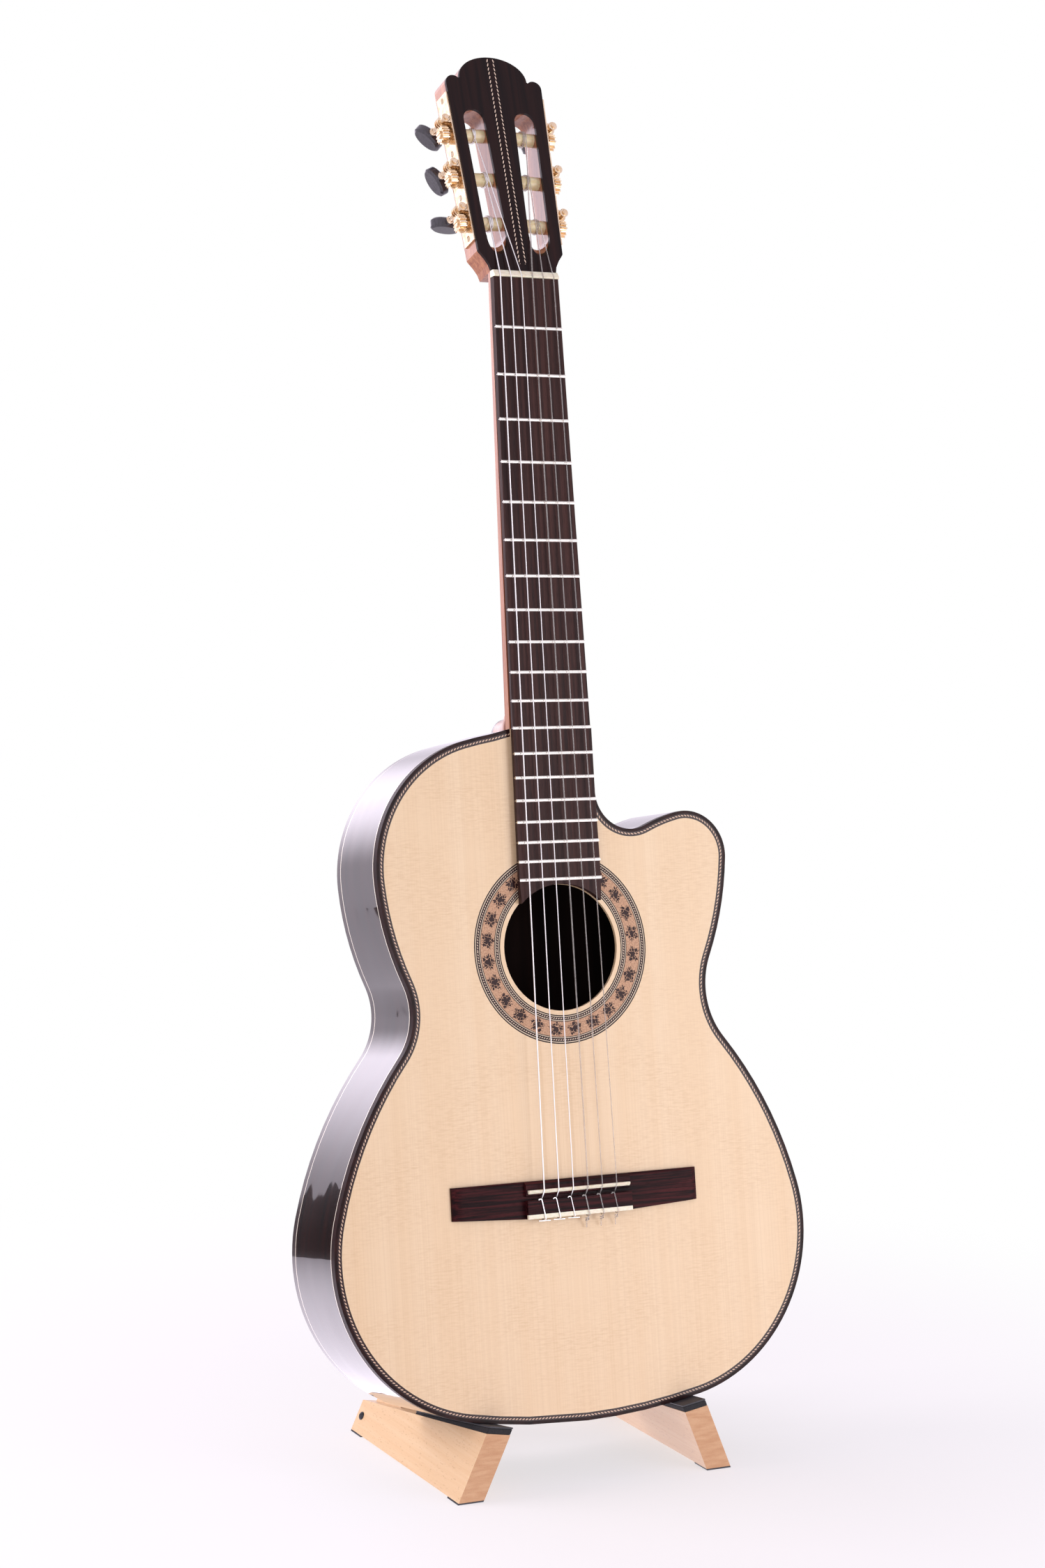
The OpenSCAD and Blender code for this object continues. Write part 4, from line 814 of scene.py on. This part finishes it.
# The floor turns from its own look to the room's white between these distances from the stand
FLOOR_FADE = (0.28, 0.85)
FLOOR_LIFT = 0.6
FLOOR_GLOSS = 1.95
WORLD_LIGHT = 0.6


def flat_board(name, width, height, finish):
    """A flat rectangle round its own middle, which is part of the stage."""
    right, top = width / 2, height / 2
    mesh = bpy.data.meshes.new(name)
    corners = [(-right, -top, 0), (right, -top, 0), (right, top, 0), (-right, top, 0)]
    mesh.from_pydata(corners, [], [(0, 1, 2, 3)])
    mesh.materials.append(finish)
    board = placed(name, mesh)
    return board


def floor_paint():
    """Pale floor that keeps the shadow near the stand and turns plain white farther out. In
    reflections it glows, most of all near the stand."""
    made = blank_material("white_floor")
    tree = made.node_tree
    x, y, _ = add(tree, "SeparateXYZ", [add(tree, "TexCoord", out="Object")]).node.outputs
    flat = add(tree, "CombineXYZ", [x, y, 0])
    far = add(tree, "VectorMath", [flat], out=1, operation="LENGTH")
    fade = add(tree, "MapRange", [far, *FLOOR_FADE, FLOOR_LIFT, 1], interpolation_type="SMOOTHSTEP")
    paper = add(tree, "BsdfPrincipled", {"Base Color": colour("FAEFFA"), "Roughness": 0.6,
                                         "Specular IOR Level": 0.2})
    white = add(tree, "Emission", [(1, 1, 1, 1), 1])
    seen = add(tree, "MixShader", [fade, paper, white])
    shine = add(tree, "MapRange", [far, *FLOOR_FADE, FLOOR_GLOSS, 1], interpolation_type="SMOOTHSTEP")
    mirrored = add(tree, "Emission", [colour(PAPER), shine])
    glossy = add(tree, "LightPath").node.outputs["Is Glossy Ray"]
    add(tree, "OutputMaterial", [add(tree, "MixShader", [glossy, seen, mirrored])])
    return made


def white_room():
    """A world that is plain white to see and in reflections, and dimmer as a light."""
    world = bpy.data.worlds.new("white_room")
    world.use_nodes = True
    tree = world.node_tree
    tree.nodes.clear()
    rays = add(tree, "LightPath").node.outputs
    seen = add(tree, "Math", [rays["Is Camera Ray"], rays["Is Glossy Ray"]], operation="MAXIMUM")
    seen = add(tree, "Math", [seen, rays["Is Transmission Ray"]], operation="MAXIMUM")
    strength = add(tree, "MapRange", [seen, 0, 1, WORLD_LIGHT, 1])
    tone = laid(tree, PAPER, "FFFFFF", rays["Is Camera Ray"])
    add(tree, "OutputWorld", [add(tree, "Background", [tone, strength])])
    return world


def soft_lamp(name, azimuth, elevation, distance, size, watts, aim=(cad_box[0] + cad_box[1]) / 2):
    """A square soft box. Azimuth 0 is in front of the guitar and 90 on its bass side."""
    lamp = bpy.data.lights.new(name, "AREA")
    lamp.shape = "SQUARE"
    lamp.size = size
    lamp.energy = watts
    made = placed(name, lamp)
    turn, rise = math.radians(azimuth), math.radians(elevation)
    out = Vector((-math.sin(turn) * math.cos(rise), -math.cos(turn) * math.cos(rise), math.sin(rise)))
    made.location = aim + out * distance
    made.rotation_euler = out.to_track_quat("Z", "Y").to_euler()
    made.visible_camera = False
    return made


# Shares of the way from a card's middle to its edge where its glow starts and ends to fade
SOFT_EDGE = (0.1, 1)
HARD_EDGE = (2, 3)


def card(name, middle, aim, size, glow, fade):
    """A studio card that shows only in glossy reflections, and whose glow fades to the room's."""
    made = blank_material(name)
    tree = made.node_tree
    point = add(tree, "Mapping", [add(tree, "TexCoord", out="Object"), (0, 0, 0), (0, 0, 0),
                                  (size[0] / 2, size[1] / 2, 1)], vector_type="TEXTURE")
    out = add(tree, "VectorMath", [point], out=1, operation="LENGTH")
    shine = add(tree, "MapRange", [out, *fade, glow, 1], interpolation_type="SMOOTHSTEP")
    add(tree, "OutputMaterial", [add(tree, "Emission", [colour(PAPER), shine])])
    board = flat_board(name, *size, made)
    board.location = middle
    board.rotation_euler = (Vector(aim) - Vector(middle)).to_track_quat("Z", "Y").to_euler()
    board.visible_camera = board.visible_diffuse = False
    board.visible_shadow = board.visible_transmission = False


flat_board("floor", FLOOR_SIZE, FLOOR_SIZE, floor_paint())
bpy.context.scene.world = white_room()
soft_lamp("key_lamp", -35, 8, 1.8, 1.0, 11, Vector((0, 0, 0.25)))
soft_lamp("fill_lamp", 40, 25, 2.8, 1.6, 5)
soft_lamp("side_lamp", 108, 22, 2.2, 1.4, 34, Vector((0, 0, 0.3))).visible_glossy = False
soft_lamp("back_lamp", 160, 25, 2.4, 2.0, 16).visible_glossy = False
card("white_card", (-0.44, 2.0, 0.98), (-0.14, 0, 0.45), (2.2, 1.7), 3.2, SOFT_EDGE)
card("dark_card", (-0.568, 0.55, 0.128), (-0.568, 0, 0.128), (0.36, 0.225), 0.02, HARD_EDGE)

# The camera's place in the guitar's frame, in mm, and its turns about the upright, the level and its
# own axis
CAMERA_AT = Vector((-1020.7, -497.2, 1984.8))
CAMERA_PAN = math.radians(-26.703)
CAMERA_TILT = math.radians(-5.530)
CAMERA_ROLL = math.radians(1.23)
SENSOR_H = 36
LENS = 72.03
camera_data = bpy.data.cameras.new("camera")
camera_data.sensor_fit = "VERTICAL"
camera_data.sensor_height = SENSOR_H
camera_data.sensor_width = SENSOR_H
camera_data.lens = LENS
camera = placed("camera", camera_data)
camera.matrix_world = (Matrix.Translation(guitar_place @ (CAMERA_AT * MM))
                       @ Matrix.Rotation(CAMERA_PAN, 4, "Z")
                       @ Matrix.Rotation(math.pi / 2 + CAMERA_TILT, 4, "X")
                       @ Matrix.Rotation(CAMERA_ROLL, 4, "Z"))
bpy.context.scene.camera = camera
bpy.context.scene.view_settings.view_transform = "Standard"
